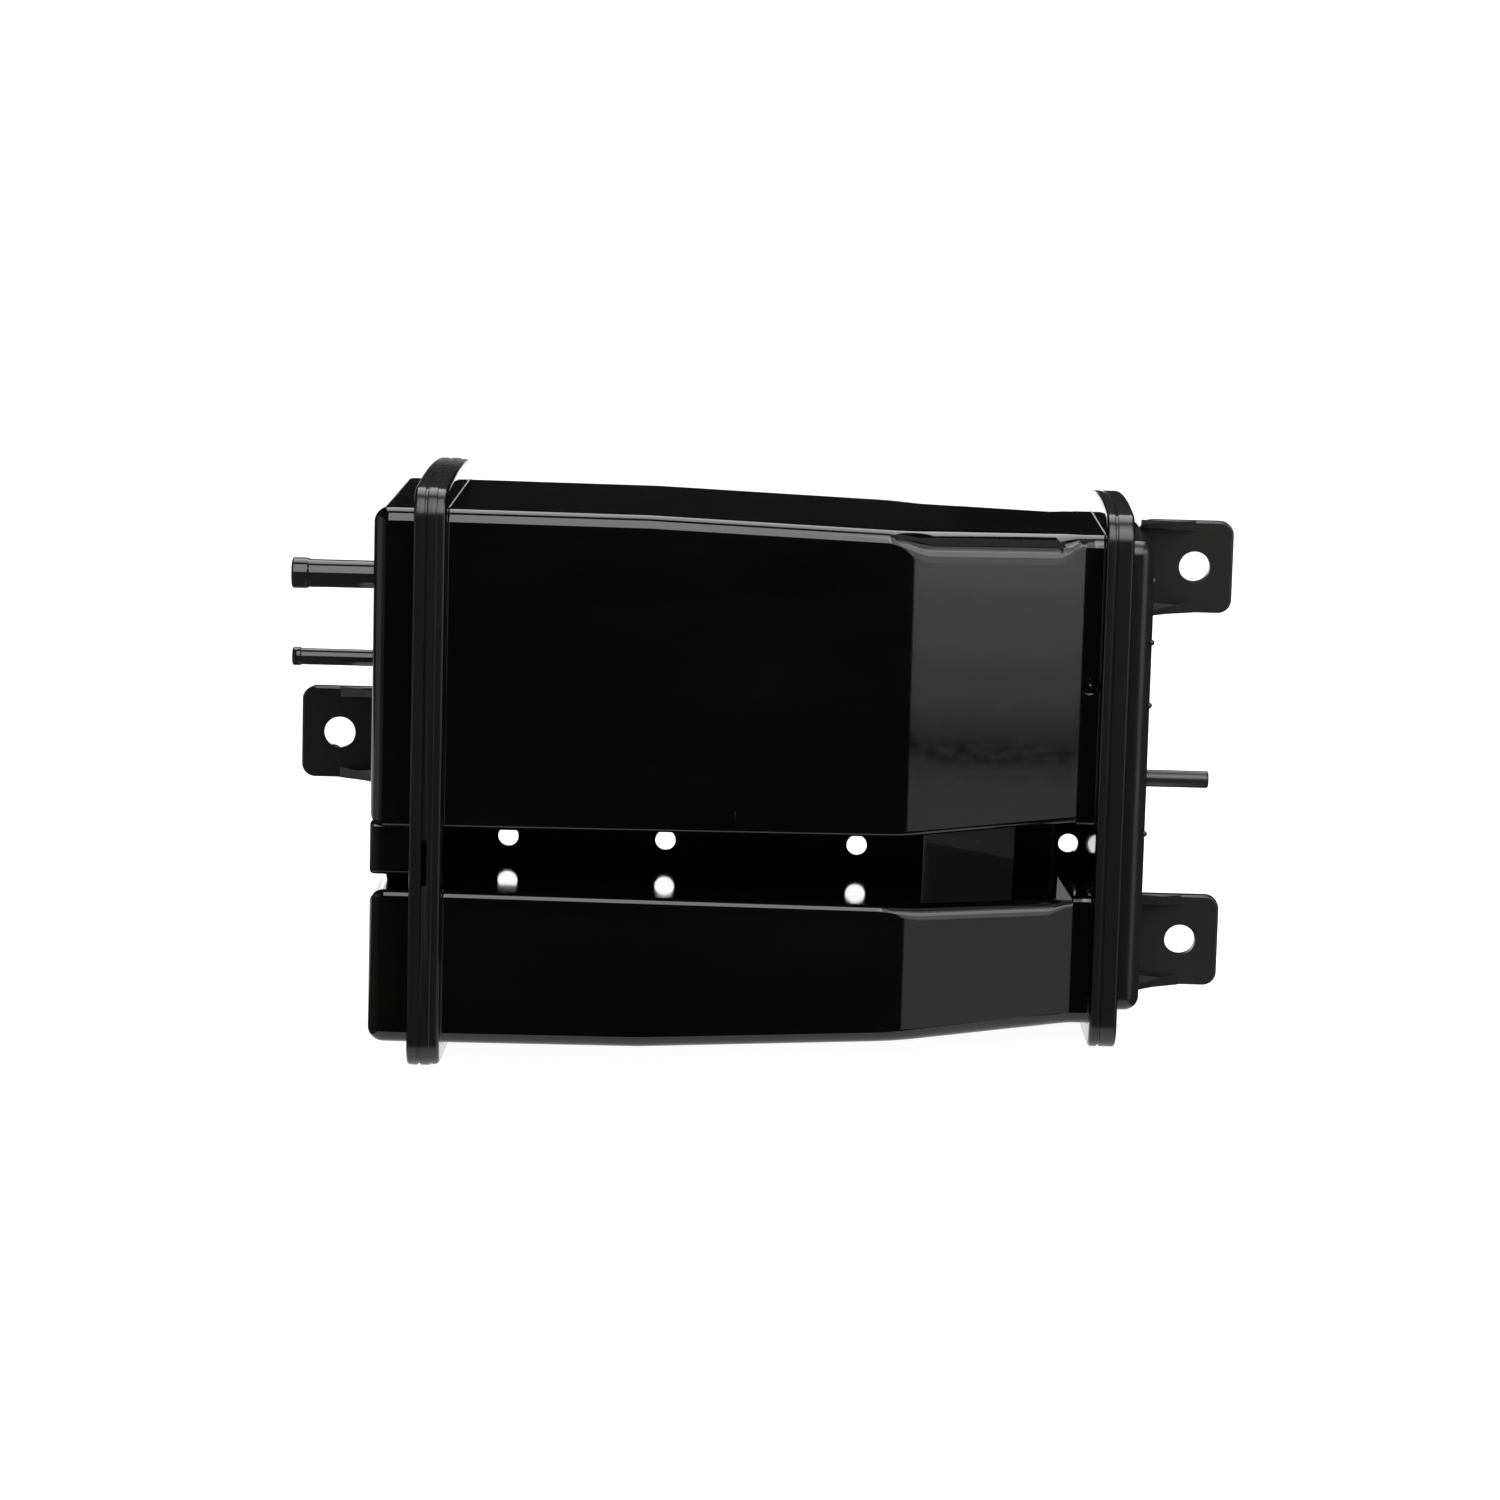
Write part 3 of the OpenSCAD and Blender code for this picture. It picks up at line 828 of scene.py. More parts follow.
@dataclass
class CanisterCase:
    """The moulded case: two chambers, the web between them and a flange at each end."""

    main: Chamber = Chamber(62.0, 152.0, 3.2, 4.7, True)
    second: Chamber = Chamber(0.0, 44.0, 6.4, 1.4, False, facet_top=4.4)
    port_weld: float = -5.8
    length: float = 184.0
    vent_weld: float = 186.9
    port_flange: Outline = PORT_FLANGE
    vent_flange: Outline = VENT_FLANGE
    port_step: Profile = (
        (-3.1, 0.0), (-2.94, 0.04), (-2.84, 0.14), (-2.8, 0.26), (-2.7, 0.3), (-1.3, 0.3),
        (-0.85, 0.38), (-0.45, 0.62), (-0.16, 0.96), (0.0, 1.4))
    vent_edge: Profile = ((0.0, 1.1), (0.12, 0.66), (0.34, 0.3), (0.66, 0.08), (1.0, 0.0))
    root: float = 0.5
    wall_places: tuple[float, ...] = (8.0, 30.0, 50.0, 56.0, 62.0, 95.0)
    bend_reach: float = 6.5
    bend_steps: int = 8
    facet_places: tuple[float, ...] = (148.0, 162.0)
    before_collar: tuple[float, ...] = (8.5, 7.0, 5.5, 4.2, 3.0, 2.0, 1.2)
    past_collar: tuple[float, ...] = (0.9, 1.5, 2.2, 3.0, 3.8)
    collar_step: float = 1.2
    collar_turn: float = 0.3
    collar_lean: float = 0.1
    web_back: float = 57.0
    web_step: float = 12.0
    web_t: float = 2.5
    web_lap: float = 1.0
    web_z: Span = (41.0, 66.0)
    web_slope: Span = (136.5, 164.5)
    web_holes: tuple[float, ...] = (15.0, 61.0, 117.0, 179.6)
    web_hole_z: float = 50.6
    web_hole_r: float = 2.9
    web_hole_steps: int = 40
    first_hole_top: float = 52.2
    slit_width: float = 1.6
    slit_depth: float = 24.0
    slit_height: float = 13.0
    slit_z: float = 53.0
    slit_overrun: float = 20.0
    gate: Place = (181.1, 20.0, 104.4)
    gate_profile: Profile = (
        (0.5, 2.6), (-0.2, 2.6), (-0.34, 2.45), (-0.36, 2.3), (-0.22, 2.05), (0.05, 1.9),
        (0.05, 0.9), (-0.4, 0.8), (-0.62, 0.6), (-0.72, 0.3), (-0.74, 0.1))
    nick: Place = (81.7, 0.0, 67.8)
    nick_size: Place = (0.22, 0.3, 1.4)

    def _collared(self, x: float, chamber: Chamber, by: float) -> Section:
        """A section of the collar, which stands out at the back and towards the gap.

        Args:
            x: The place along the case.
            chamber: The chamber.
            by: How far the collar stands out there.

        Returns:
            The section.
        """
        wall = chamber.outline(x, self.bend_reach)
        down, up = (by, 0.0) if chamber.gap_side_low else (0.0, by)
        return x, Outline(wall.left, wall.right + by, wall.low - down, wall.high + up,
                          wall.radius, wall.foot)

    def _collar(self, chamber: Chamber) -> list[Section]:
        """The outside of a chamber's collar, from its step to the flange.

        Args:
            chamber: The chamber.

        Returns:
            The sections.
        """
        turn = quarter(self.collar_turn)
        top = self.collar_turn + self.collar_lean
        rise = [(along - self.collar_turn, up) for along, up in turn]
        rise += [(top - along, self.collar_step - up) for along, up in turn[::-1]]
        rise += [(along, self.collar_step) for along in self.past_collar]
        collar = [self._collared(chamber.collar + along, chamber, by) for along, by in rise]
        for along, out in hollow_quarter(self.root)[::-1]:
            x, wall = self._collared(self.length - along, chamber, self.collar_step)
            collar.append((x, wall.inset(-out)))
        return collar

    def _outside(self, chamber: Chamber) -> list[Section]:
        """The outside of a chamber, from one flange to the other.

        Args:
            chamber: The chamber.

        Returns:
            The sections.
        """
        start = [(x, chamber.outline(x).inset(-out)) for x, out in hollow_quarter(self.root)]
        steps = range(-self.bend_steps, self.bend_steps + 1)
        bends = [chamber.facet + self.bend_reach * step / self.bend_steps for step in steps]
        hollow = [chamber.collar - before for before in self.before_collar]
        places = [*self.wall_places, *bends, *self.facet_places, *hollow]
        wall = [(x, chamber.outline(x, self.bend_reach)) for x in places]
        return start + wall + self._collar(chamber)

    def _inside(self, chamber: Chamber) -> list[Section]:
        """The sections of a chamber's inside, from one weld to the other."""
        places = [self.port_weld, 0, chamber.straight, chamber.facet, chamber.collar, self.vent_weld]
        return [(x, chamber.outline(x).inset(chamber.wall)) for x in places]

    def _port_rim(self) -> list[Section]:
        """The rim of the port flange from its weld to the chambers, with its groove and its step."""
        groove = [(self.port_weld + along, by) for along, by in WELD_GROOVE]
        return [(x, self.port_flange.inset(by)) for x, by in (*groove, *self.port_step)]

    def _vent_rim(self) -> list[Section]:
        """The rim of the vent flange from the chambers to its weld, with its groove.

        Returns:
            The sections.
        """
        edge = [(self.length + along, by) for along, by in self.vent_edge]
        groove = [(self.vent_weld - along, by) for along, by in WELD_GROOVE[::-1]]
        return [(x, self.vent_flange.inset(by)) for x, by in edge + groove]

    def _shell(self) -> Object:
        """Builds the closed shell of the chambers and the flanges.

        Returns:
            The shell.
        """
        piece = Piece("case_shell")
        loft = Loft(piece.bm)
        outer = [loft.skin(self._outside(chamber)) for chamber in (self.main, self.second)]
        inner = [loft.skin(self._inside(chamber)) for chamber in (self.main, self.second)]
        port = loft.skin(self._port_rim())
        vent = loft.skin(self._vent_rim())
        flat_fill(piece.bm, port[0], *[ring[0] for ring in inner])
        flat_fill(piece.bm, port[1], *[ring[0] for ring in outer])
        flat_fill(piece.bm, vent[0], *[ring[1] for ring in outer])
        flat_fill(piece.bm, vent[1], *[ring[1] for ring in inner])
        return piece.placed()

    def _slit(self) -> Object:
        """Builds the block that opens the port seam in front of the gap.

        Returns:
            The block.
        """
        piece = Piece("slit_block")
        deep = self.slit_depth + self.slit_overrun
        middle = self.port_flange.left + (self.slit_depth - self.slit_overrun) / 2
        size = Matrix.Diagonal((2 * self.slit_width, deep, self.slit_height, 1))
        place = Matrix.Translation((self.port_weld, middle, self.slit_z))
        bmesh.ops.create_cube(piece.bm, size=1, matrix=place @ size)
        return piece.placed()

    def _web_hole(self, bm: BMesh, x: float, y: float) -> list[BMEdge]:
        """Adds the ring of one hole in the web, with a flat top if it is the first.

        Args:
            bm: The mesh of the web.
            x: The hole's place along the case.
            y: The front of the web there.

        Returns:
            The edges of the ring.
        """
        place = Matrix.Translation((x, y, self.web_hole_z)) @ Matrix.Rotation(math.pi / 2, 4, "X")
        ring = bmesh.ops.create_circle(bm, radius=self.web_hole_r, segments=self.web_hole_steps,
                                       matrix=place)["verts"]
        if x == self.web_holes[0]:
            for vert in ring:
                vert.co.z = min(vert.co.z, self.first_hole_top)
        return edges_of(ring)

    def _web(self, bm: BMesh) -> None:
        """Adds the web with its step and its holes.

        Args:
            bm: The mesh that it goes into.
        """
        behind = self.web_back + self.web_step
        route = [(-self.web_lap, self.web_back), (self.web_slope[0], self.web_back),
                 (self.web_slope[1], behind), (self.length + self.web_lap, behind)]
        base, top = [[bm.verts.new((x, y, z)) for x, y in route] for z in self.web_z]
        faces = []
        for number, ((start, y), (stop, _)) in enumerate(zip(route, route[1:])):
            corners = [base[number], base[number + 1], top[number + 1], top[number]]
            sides = zip(corners, corners[1:] + corners[:1])
            border = [bm.edges.get(pair) or bm.edges.new(pair) for pair in sides]
            holes = [self._web_hole(bm, x, y) for x in self.web_holes if start < x < stop]
            faces += picked(flat_fill(bm, border, *holes), BMFace)
        pushed = bmesh.ops.extrude_face_region(bm, geom=faces, use_keep_orig=True)["geom"]
        bmesh.ops.translate(bm, vec=(0, self.web_t, 0), verts=picked(pushed, BMVert))

    def _marks(self, bm: BMesh) -> None:
        """Adds the gate mark on the collar and the nick above the gap.

        Args:
            bm: The mesh that they go into.
        """
        x, front, z = self.gate
        rings = [(front + y, disc(x, z, radius)) for y, radius in self.gate_profile]
        Loft(bm, Axis.ALONG_Y).closed(rings)
        place = Matrix.Translation(self.nick) @ Matrix.Diagonal((*self.nick_size, 1))
        bmesh.ops.create_icosphere(bm, subdivisions=3, radius=1, matrix=place)

    def build(self) -> Object:
        """Builds the case as one object.

        Returns:
            The object.
        """
        shell = self._shell()
        carved(shell, self._slit())
        web = Piece("web")
        self._web(web.bm)
        self._marks(web.bm)
        joined(shell, web.placed())
        return shell


@dataclass(frozen=True)
class HosePort:
    """A hose nipple that stands out along X from the end of a cap.

    The ramp of its bead is given in shares of how far the bead swells, and its mouth as pairs of
    how far in and how far off the bore.
    """

    end: float
    way: int
    y: float
    z: float
    length: float
    width: float
    bore: float
    bead: float = 0.0
    bead_len: float = 0.0
    bead_turn: Span = (0.4, 0.03)
    root: float = 1.3
    lip: float = 0.6
    sunk: float = 0.8
    bore_end: float = 0.5
    ramp: Profile = ((-2.2, 0.0), (-1.5, 0.15), (-0.5, 0.8))
    mouth: Profile = ((0.0, 0.3), (0.1, 0.08), (0.35, 0.0))
    steps: int = 48

    def _profile(self) -> list[Span]:
        """The nipple's profile, from its root to the end of its bore.

        Returns:
            Pairs of how far along and how far off the axis each point lies.
        """
        radius = self.width / 2
        rim = max(self.bead / 2, radius)
        profile = [(-self.sunk, 0.0), (-self.sunk, radius + self.root)]
        profile += [(along, radius + out) for along, out in hollow_quarter(self.root)]
        if self.bead:
            swell = rim - radius
            start = self.length - self.bead_len
            profile += [(start + along * swell, radius + out * swell) for along, out in self.ramp]
            profile += [(start, rim - self.bead_turn[1]), (start + self.bead_turn[0], rim)]
        profile += [(self.length - self.lip + along, rim - out) for along, out in quarter(self.lip)]
        hole = self.bore / 2
        profile += [(self.length - along, hole + out) for along, out in self.mouth]
        return [*profile, (self.bore_end, hole), (self.bore_end, 0.0)]

    def add(self, bm: BMesh) -> None:
        """Spins the nipple's profile into a mesh.

        Args:
            bm: The mesh.
        """
        verts = [bm.verts.new((self.end + self.way * along, self.y, self.z + out))
                 for along, out in self._profile()]
        edges = [bm.edges.new(pair) for pair in zip(verts, verts[1:])]
        bmesh.ops.spin(bm, geom=verts + edges, cent=(self.end, self.y, self.z), axis=(1, 0, 0),
                       dvec=(0, 0, 0), angle=2 * math.pi, steps=self.steps, use_merge=True)


@dataclass(frozen=True)
class MountingEar:
    """A bolt-on ear with a gusset along each edge."""

    end: float
    way: int
    z: float
    back: float = 70.0
    length: float = 26.3
    height: float = 27.0
    thick: float = 4.0
    corner: float = 4.0
    hole: float = 4.5
    hole_edge: float = 11.2
    sunk: float = 1.5
    rim: float = 0.7
    flare: float = 0.2
    gusset_len: float = 15.0
    gusset_d: float = 12.0
    gusset_t: float = 3.0
    gusset_tip: float = 1.0
    gusset_sunk: float = 1.0
    gusset_lap: float = 0.4
    gusset_curve: float = 1.4
    gusset_steps: int = 14
    ridge: float = 0.3
    ridge_turn: float = 1.0

    def _plate(self, bm: BMesh) -> None:
        """Adds the plate with its hole.

        Args:
            bm: The mesh that it goes into.
        """
        near, far = self.end - self.way * self.sunk, self.end + self.way * self.length
        half = self.height / 2
        plate = Outline(min(near, far), max(near, far), self.z - half, self.z + half, self.corner)
        hole = disc(far - self.way * self.hole_edge, self.z, self.hole)
        front, behind = self.back, self.back + self.thick
        edge = quarter(self.rim)
        mouth = quarter(self.flare, 3)
        sections = [(behind - self.rim + along, plate.inset(out)) for along, out in edge]
        sections += [(behind - out, hole.inset(along - self.flare)) for along, out in mouth]
        sections += [(front + out, hole.inset(along - self.flare)) for along, out in mouth[::-1]]
        sections += [(front + self.rim - along, plate.inset(out)) for along, out in edge[::-1]]
        Loft(bm, Axis.ALONG_Y).looped(sections)

    def _gusset_profile(self) -> list[Span]:
        """The side of a gusset.

        Returns:
            Pairs of how far out and how far behind the plate's front each point lies.
        """
        shares = [step / self.gusset_steps for step in range(self.gusset_steps + 1)]
        curve = [(self.gusset_len * share, -self.gusset_d * (1 - share) ** self.gusset_curve)
                 for share in shares]
        return [(-self.gusset_sunk, self.gusset_lap), (-self.gusset_sunk, -self.gusset_d), *curve,
                (self.gusset_len, self.gusset_lap)]

    def _gusset(self, bm: BMesh, side: int) -> None:
        """Adds one gusset.

        Args:
            bm: The mesh that it goes into.
            side: 1 for the upper edge and -1 for the lower one.
        """
        flat = self.z + side * self.height / 2
        rib = bmesh.new()
        verts = [rib.verts.new((self.end + self.way * along, self.back + deep, flat))
                 for along, deep in self._gusset_profile()]
        face = bmesh.ops.contextual_create(rib, geom=verts)["faces"]
        pushed = bmesh.ops.extrude_face_region(rib, geom=face, use_keep_orig=True)["geom"]
        for vert in picked(pushed, BMVert):
            share = (self.back - vert.co.y) / self.gusset_d
            vert.co.z -= side * (self.gusset_t + (self.gusset_tip - self.gusset_t) * share)
        bmesh.ops.recalc_face_normals(rib, faces=rib.faces)
        ridges = [edge for edge in rib.edges if edge.calc_face_angle(0) > self.ridge_turn]
        bmesh.ops.bevel(rib, geom=ridges, offset=self.ridge, offset_type="OFFSET", affect="EDGES",
                        segments=4, profile=0.5, material=-1, clamp_overlap=True)
        mesh = bpy.data.meshes.new("rib")
        rib.to_mesh(mesh)
        rib.free()
        bm.from_mesh(mesh)
        bpy.data.meshes.remove(mesh)

    def add(self, bm: BMesh) -> None:
        """Adds the ear and its gussets to a mesh.

        Args:
            bm: The mesh.
        """
        self._plate(bm)
        for side in (-1, 1):
            self._gusset(bm, side)


@dataclass
class WeldedCap(ABC):
    """A moulded cap that is welded to the case by its flange."""

    name: str
    way: int
    weld: float
    flange_t: float
    length: float
    rim: float
    flange: Outline
    lobes: tuple[Outline, ...]
    wall: float = 2.5
    root: float = 0.4
    flange_edge: float = 0.9
    rim_steps: int = 8

    @property
    def face(self) -> float:
        """The outer face of the flange."""
        return self.weld + self.way * self.flange_t

    @property
    def end(self) -> float:
        """The outer face of the cap."""
        return self.face + self.way * self.length

    def _flange(self) -> list[Section]:
        """The rim of the flange, from its weld to its outer face.

        Returns:
            The sections.
        """
        inner = self.flange_t - self.flange_edge
        edge = [(inner + along, out) for along, out in quarter(self.flange_edge)]
        return [(self.weld + self.way * along, self.flange.inset(out))
                for along, out in (*WELD_GROOVE, *edge)]

    def _lobe(self, walls: Outline, length: float, rim: float) -> list[Section]:
        """The outside of a lobe, from the flange to its rounded end.

        Args:
            walls: The outline of the lobe.
            length: How far it stands out.
            rim: The radius round its end.

        Returns:
            The sections.
        """
        root = [(along, walls.inset(-out)) for along, out in hollow_quarter(self.root)]
        turn = quarter(rim, self.rim_steps)
        end = [(length - rim + along, walls.inset(out)) for along, out in turn]
        return [(self.face + self.way * along, outline) for along, outline in root + end]

    def _hollow(self, walls: Outline) -> list[Section]:
        """The inside of a lobe."""
        inside = walls.inset(self.wall)
        return [(self.weld, inside), (self.end - self.way * self.wall, inside)]

    @abstractmethod
    def _fit(self, loft: Loft) -> None:
        """Adds what stands on the cap."""

    def build(self) -> Object:
        """Builds the cap as one object.

        Returns:
            The object.
        """
        piece = Piece(self.name)
        loft = Loft(piece.bm)
        flange = loft.skin(self._flange())
        outer = [loft.skin(self._lobe(walls, self.length, self.rim)) for walls in self.lobes]
        inner = [loft.skin(self._hollow(walls)) for walls in self.lobes]
        flat_fill(piece.bm, flange[0], *[ring[0] for ring in inner])
        flat_fill(piece.bm, flange[1], *[ring[0] for ring in outer])
        for ring in outer + inner:
            bmesh.ops.contextual_create(piece.bm, geom=ring[1])
        self._fit(loft)
        return piece.placed()


@dataclass
class PortCap(WeldedCap):
    """The cap at the port end, with two hose ports and one ear."""

    name: str = "port_cap_shell"
    way: int = -1
    weld: float = -5.8
    flange_t: float = 3.4
    length: float = 11.7
    rim: float = 4.4
    flange: Outline = PORT_FLANGE
    lobes: tuple[Outline, ...] = (
        Outline(0.0, 91.035, 61.965, 152.035, 4.2, 2.0),
        Outline(0.0, 91.035, -0.035, 44.035, 2.0, 4.2))
    bridge: Outline = Outline(2.0, 89.0, 48.0, 63.4, 2.0)
    bridge_rim: float = 1.2
    bridge_sunk: float = 0.8
    neck: Outline = Outline(22.0, 69.0, 42.6, 51.0, 2.0)
    neck_length: float = 8.7
    ear_z: float = 77.95
    port_y: float = 45.5

    def _fit(self, loft: Loft) -> None:
        """Adds the bridge and the neck between the lobes, the ear and the hose ports.

        Args:
            loft: What draws skins into the cap's mesh.
        """
        for walls, length in ((self.bridge, self.length), (self.neck, self.neck_length)):
            block = self._lobe(walls, length, self.bridge_rim)
            loft.closed([(self.face + self.bridge_sunk, block[0][1]), *block])
        MountingEar(self.end, self.way, self.ear_z).add(loft.bm)
        HosePort(self.end, self.way, self.port_y, z=127.8, length=27.0, width=8.2, bore=5.6,
                 bead=9.0, bead_len=4.4).add(loft.bm)
        HosePort(self.end, self.way, self.port_y, z=103.6, length=26.7, width=4.8, bore=2.6,
                 bead=5.4, bead_len=2.2).add(loft.bm)


@dataclass
class VentCap(WeldedCap):
    """The cap at the vent end, with one hose port, two ears and a row of pips."""

    name: str = "vent_cap_shell"
    way: int = 1
    weld: float = 186.9
    flange_t: float = 5.0
    length: float = 6.7
    rim: float = 4.2
    flange: Outline = VENT_FLANGE
    lobes: tuple[Outline, ...] = (Outline(21.6, 88.31, 10.2, 145.7, 4.2),)
    ear_span: float = 111.2
    port_y: float = 54.955
    pips: tuple[float, ...] = (134.5, 117.0, 99.0, 62.0)
    pip_sunk: float = 0.35
    pip_back: float = 1.3
    pip_r: float = 0.85
    pip_depth: float = 0.9

    def _pip(self, bm: BMesh, z: float) -> None:
        """Adds one of the small moulded pips along the front edge of the end.

        Args:
            bm: The mesh that it goes into.
            z: The height of the pip.
        """
        middle = (self.end - self.pip_sunk, self.lobes[0].left + self.pip_back, z)
        place = Matrix.Translation(middle) @ Matrix.Diagonal((1, self.pip_depth, 1, 1))
        bmesh.ops.create_icosphere(bm, subdivisions=3, radius=self.pip_r, matrix=place)

    def _fit(self, loft: Loft) -> None:
        """Adds the ears, the hose port and the pips.

        Args:
            loft: What draws skins into the cap's mesh.
        """
        middle = (self.lobes[0].low + self.lobes[0].high) / 2
        for side in (-1, 1):
            MountingEar(self.end, self.way, middle + side * self.ear_span / 2).add(loft.bm)
        HosePort(self.end, self.way, self.port_y, z=73.05, length=20.2, width=5.0,
                 bore=2.8).add(loft.bm)
        for z in self.pips:
            self._pip(loft.bm, z)


@dataclass(frozen=True)
class SoftLight:
    """A soft box that shines at a point, in metres, and glows the same whatever its size."""

    name: str
    place: Place
    target: Place
    size: Span
    glow: float
    only_gloss: bool = False

    def build(self) -> None:
        """Builds the light."""
        data = bpy.data.lights.new(self.name, "AREA")
        data.shape = "RECTANGLE"
        data.size, data.size_y = self.size
        data.energy = self.glow * math.pi * self.size[0] * self.size[1]
        light = linked(self.name, data)
        light.location = self.place
        aim = Vector(self.target) - Vector(self.place)
        light.rotation_euler = aim.to_track_quat("-Z", "Y").to_euler()
        light.visible_camera = False
        light.visible_diffuse = not self.only_gloss


def stepped_box(name: str, place: Span, width: float, steps: list[Place]) -> list[SoftLight]:
    """A soft box that grows brighter towards its middle, made of cards one before the other.

    Args:
        name: The name of the box.
        place: Where it stands on the floor.
        width: How wide it is.
        steps: The lower edge, the upper edge and the added glow of each card.

    Returns:
        The cards.
    """
    cards = []
    for number, (low, high, glow) in enumerate(steps):
        near = 1 - 0.004 * number
        spot = (place[0] * near, place[1] * near, (low + high) / 2)
        cards.append(SoftLight(f"{name}_{number}", spot, (0, 0, spot[2]), (width, high - low), glow))
    return cards


TOP_MIDDLE = (0, -0.045, 0.16)
TOP_RIGHT = (0.06, -0.04, 0.14)
MIDDLE = (0, 0, 0.08)


@dataclass
class Studio:
    """The pale floor, the soft boxes and the camera, in metres."""

    lens_pixels: float = 4685.0
    sensor: float = 36.0
    eye: Place = (0.004937, -1.340068, 0.295020)
    depth_way: Place = (48.0, -725.0, 4685.0)
    down_way: Place = (-780.0, 30299.0, 4685.0)
    clip: Span = (0.01, 50.0)
    floor_slope: float = 6.4 / 191.9
    floor_touch: float = -0.0885
    floor_half: float = 4.0
    floor_front: float = -3.0
    floor_back: float = 3.0
    floor_top: float = 5.0
    sweep_radius: float = 1.2
    drum_radius: float = 9.0
    drum_height: float = 12.0
    drum_z: float = 4.0
    paper: float = 0.5
    paper_glow: float = 0.95
    paper_roughness: float = 0.9
    world: Colour = (0.008, 0.008, 0.0082)
    lights: list[SoftLight] = field(default_factory=lambda: [
        SoftLight("front_strip", (0.0, -0.985, 1.055), TOP_MIDDLE, (0.62, 1.5), 4.2),
        SoftLight("back_strip", (0.0, 0.5, 1.23), TOP_MIDDLE, (0.9, 1.06), 3.8),
        SoftLight("front_fill", (0.4, -1.05, 0.94), TOP_MIDDLE, (0.46, 1.1), 2.4),
        SoftLight("right_shoulder", (0.83, -0.57, 0.97), TOP_RIGHT, (0.5, 0.36), 1.3),
        SoftLight("right_fill", (0.5, -0.17, 1.33), TOP_RIGHT, (0.9, 0.8), 0.42),
        *stepped_box("right_box", (0.86, -0.9), 0.62, [
            (-0.083, 1.35, 0.42), (-0.066, 1.3, 0.36), (-0.036, 1.2, 0.26), (0.004, 1.1, 0.4),
            (0.12, 1.05, 0.35), (0.54, 1.0, 1.9)]),
        SoftLight("right_low", (0.86, -0.9, -0.275), (0, 0, -0.275), (0.6, 0.36), 0.66),
        SoftLight("left_box", (-1.15, -0.3, 0.25), MIDDLE, (0.9, 0.8), 0.42),
        SoftLight("left_fill", (-0.9, -0.75, 0.25), MIDDLE, (0.8, 0.8), 0.16),
        SoftLight("under_card", (0.0, -0.01, -0.012), (0, -0.01, 0.2), (0.26, 0.14), 1.0, True),
        SoftLight("floor_card", (-0.345, 0.75, -0.02), (-0.345, 0.75, 0.2), (0.91, 1.3), 0.95,
                  True),
        SoftLight("back_card", (-0.345, 1.42, 0.0975), (-0.345, 0, 0.0975), (0.91, 0.235), 1.5,
                  True),
        SoftLight("rear_card", (-0.045, 0.2, 0.045), (-0.045, 0, 0.045), (0.21, 0.13), 2.6, True),
        SoftLight("web_card", (0.0888, -0.0065, 0.0616), (-0.0112, -0.0126, 0.0616),
                  (0.038, 0.0226), 0.3, True),
    ])

    def _camera(self) -> None:
        """Builds the camera at the photograph's angle."""
        depth = Vector(self.depth_way).normalized()
        down = Vector(self.down_way)
        down = (down - depth * down.dot(depth)).normalized()
        side = depth.cross(-down)
        if side.x < 0:
            side = -side
        rows = Matrix((side, depth, -down)).transposed()
        turn = Matrix((rows[0], -rows[1], -rows[2])).transposed()
        data = bpy.data.cameras.new("photo_camera")
        data.sensor_width = self.sensor
        data.lens = self.lens_pixels / FRAME_PIXELS * self.sensor
        data.clip_start, data.clip_end = self.clip
        camera = linked("photo_camera", data)
        camera.matrix_world = Matrix.Translation(self.eye) @ turn.to_4x4()
        bpy.context.scene.camera = camera

    def _sheet(self, name: str, bm: BMesh, paper: float, glow: float) -> Object:
        """Makes a mesh a sheet of paper that shines white and shows in no reflection.

        Args:
            name: The object's name.
            bm: Its mesh, which is used up.
            paper: How pale the paper is.
            glow: How strongly it shines.

        Returns:
            The object.
        """
        mesh = bpy.data.meshes.new(name)
        bm.to_mesh(mesh)
        bm.free()
        paint = NodePaint(f"{name}_paper")
        paint.feed("Base Color", (paper, paper, paper, 1))
        paint.feed("Emission Color", (1, 1, 1, 1))
        paint.feed("Emission Strength", glow)
        paint.feed("Roughness", self.paper_roughness)
        paint.feed("Specular IOR Level", 0.0)
        mesh.materials.append(paint.material)
        sheet = linked(name, mesh)
        sheet.visible_glossy = False
        return sheet

    def _floor(self) -> None:
        """Builds a floor that sweeps up behind the canister."""
        bm = bmesh.new()
        sides = (-self.floor_half, self.floor_half)
        edges = [bm.edges.new([bm.verts.new((x, self.floor_front, 0.0)) for x in sides])]
        turns = [math.radians(degrees) for degrees in range(10, 91, 10)]
        sweep = [(self.floor_back + self.sweep_radius * math.sin(turn),
                  self.sweep_radius * (1 - math.cos(turn))) for turn in turns]
        wall = (self.floor_back + self.sweep_radius, self.floor_top)
        for y, z in [(self.floor_back, 0.0), *sweep, wall]:
            verts, edges = extruded(bm, edges)
            for vert in verts:
                vert.co.y = y
                vert.co.z = z
        lean = Matrix.Rotation(-math.atan(self.floor_slope), 4, "Y")
        touch = Matrix.Translation((self.floor_touch, 0, 0))
        bmesh.ops.transform(bm, matrix=touch @ lean, verts=bm.verts)
        bmesh.ops.recalc_face_normals(bm, faces=bm.faces)
        for face in bm.faces:
            face.smooth = True
        floor = self._sheet("studio_floor", bm, self.paper, self.paper_glow)

    def _backdrop(self) -> None:
        """Builds a pale drum round the studio that only the camera sees."""
        bm = bmesh.new()
        middle = Matrix.Translation((0, 0, self.drum_z))
        bmesh.ops.create_cone(bm, cap_ends=True, segments=64, radius1=self.drum_radius,
                              radius2=self.drum_radius, depth=self.drum_height, matrix=middle)
        drum = self._sheet("studio_backdrop", bm, paper=0.0, glow=1.0)
        drum.visible_diffuse = False
        drum.visible_shadow = False

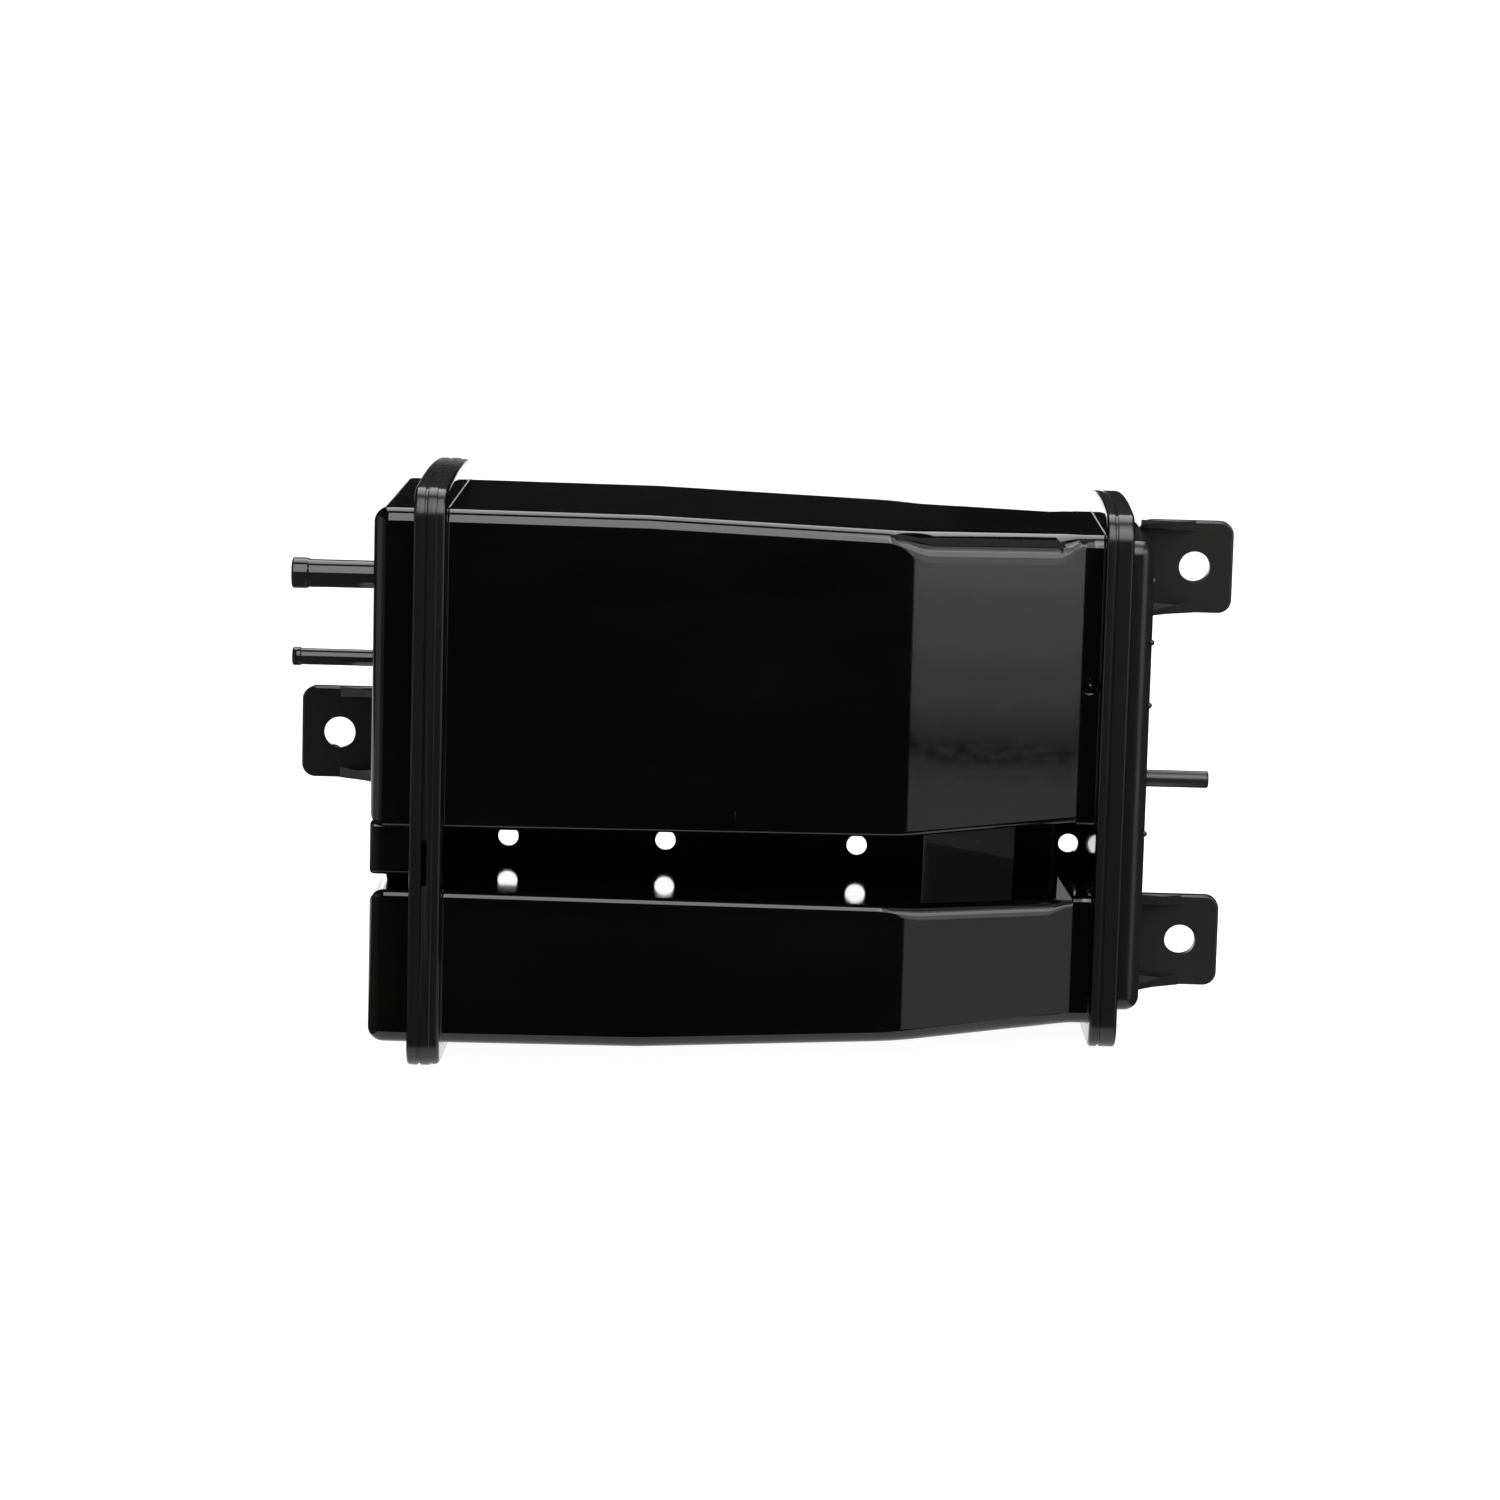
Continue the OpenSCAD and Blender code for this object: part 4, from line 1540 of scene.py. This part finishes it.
    def build(self) -> None:
        """Builds the whole studio."""
        self._camera()
        self._floor()
        self._backdrop()
        for light in self.lights:
            light.build()
        world = bpy.data.worlds.new("studio")
        world.use_nodes = True
        world.node_tree.nodes["Background"].inputs["Color"].default_value = (*self.world, 1)
        bpy.context.scene.world = world
        bpy.context.scene.view_settings.view_transform = "Standard"


@dataclass
class Canister:
    """The whole canister: its three mouldings and what they hold.

    The finishes go by a word in a node's name, and the first word that fits counts.
    """

    nodes: dict[str, Object]
    inner_finishes: dict[str, Finish] = field(default_factory=lambda: {
        "grid": GridPlastic(), "plate": GridPlastic(), "filter": FilterFelt(),
        "bed": CarbonPellets(), "spring": SpringSteel(),
    })

    def _moulding(self, piece: Object, node: str, plastic: Material) -> None:
        """Dresses a moulding and lets it stand for its node.

        Args:
            piece: The moulding.
            node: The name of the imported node.
            plastic: Its material.
        """
        piece.data.materials.clear()
        piece.data.materials.append(plastic)
        even = piece.modifiers.new("even_normals", "WEIGHTED_NORMAL")
        even.weight = 80
        even.keep_sharp = True
        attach(piece, "root")
        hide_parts(node)
        log.info("%s stands for %s with %d faces", piece.name, node, len(piece.data.polygons))

    def build(self) -> None:
        """Builds the mouldings."""
        plastic = ShellPlastic().material()
        self._moulding(CanisterCase().build(), "canister_case", plastic)
        self._moulding(PortCap().build(), "port_cap", plastic)
        self._moulding(VentCap().build(), "vent_cap", plastic)

    def dress(self) -> None:
        """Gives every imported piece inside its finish."""
        made: dict[str, Material] = {}
        for name, node in self.nodes.items():
            fitting = [finish for word, finish in self.inner_finishes.items() if word in name]
            if not fitting:
                continue
            finish = fitting[0]
            if finish.name not in made:
                made[finish.name] = finish.material()
            node.data.materials.clear()
            node.data.materials.append(made[finish.name])
            log.info("%s is finished as %s", name, finish.name)


def main() -> None:
    """Builds the canister and the studio."""
    logging.basicConfig(level=logging.INFO, format="%(message)s")
    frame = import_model()
    canister = Canister(frame["nodes"])
    canister.build()
    canister.dress()
    Studio().build()
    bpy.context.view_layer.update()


if __name__ == "__main__":
    main()
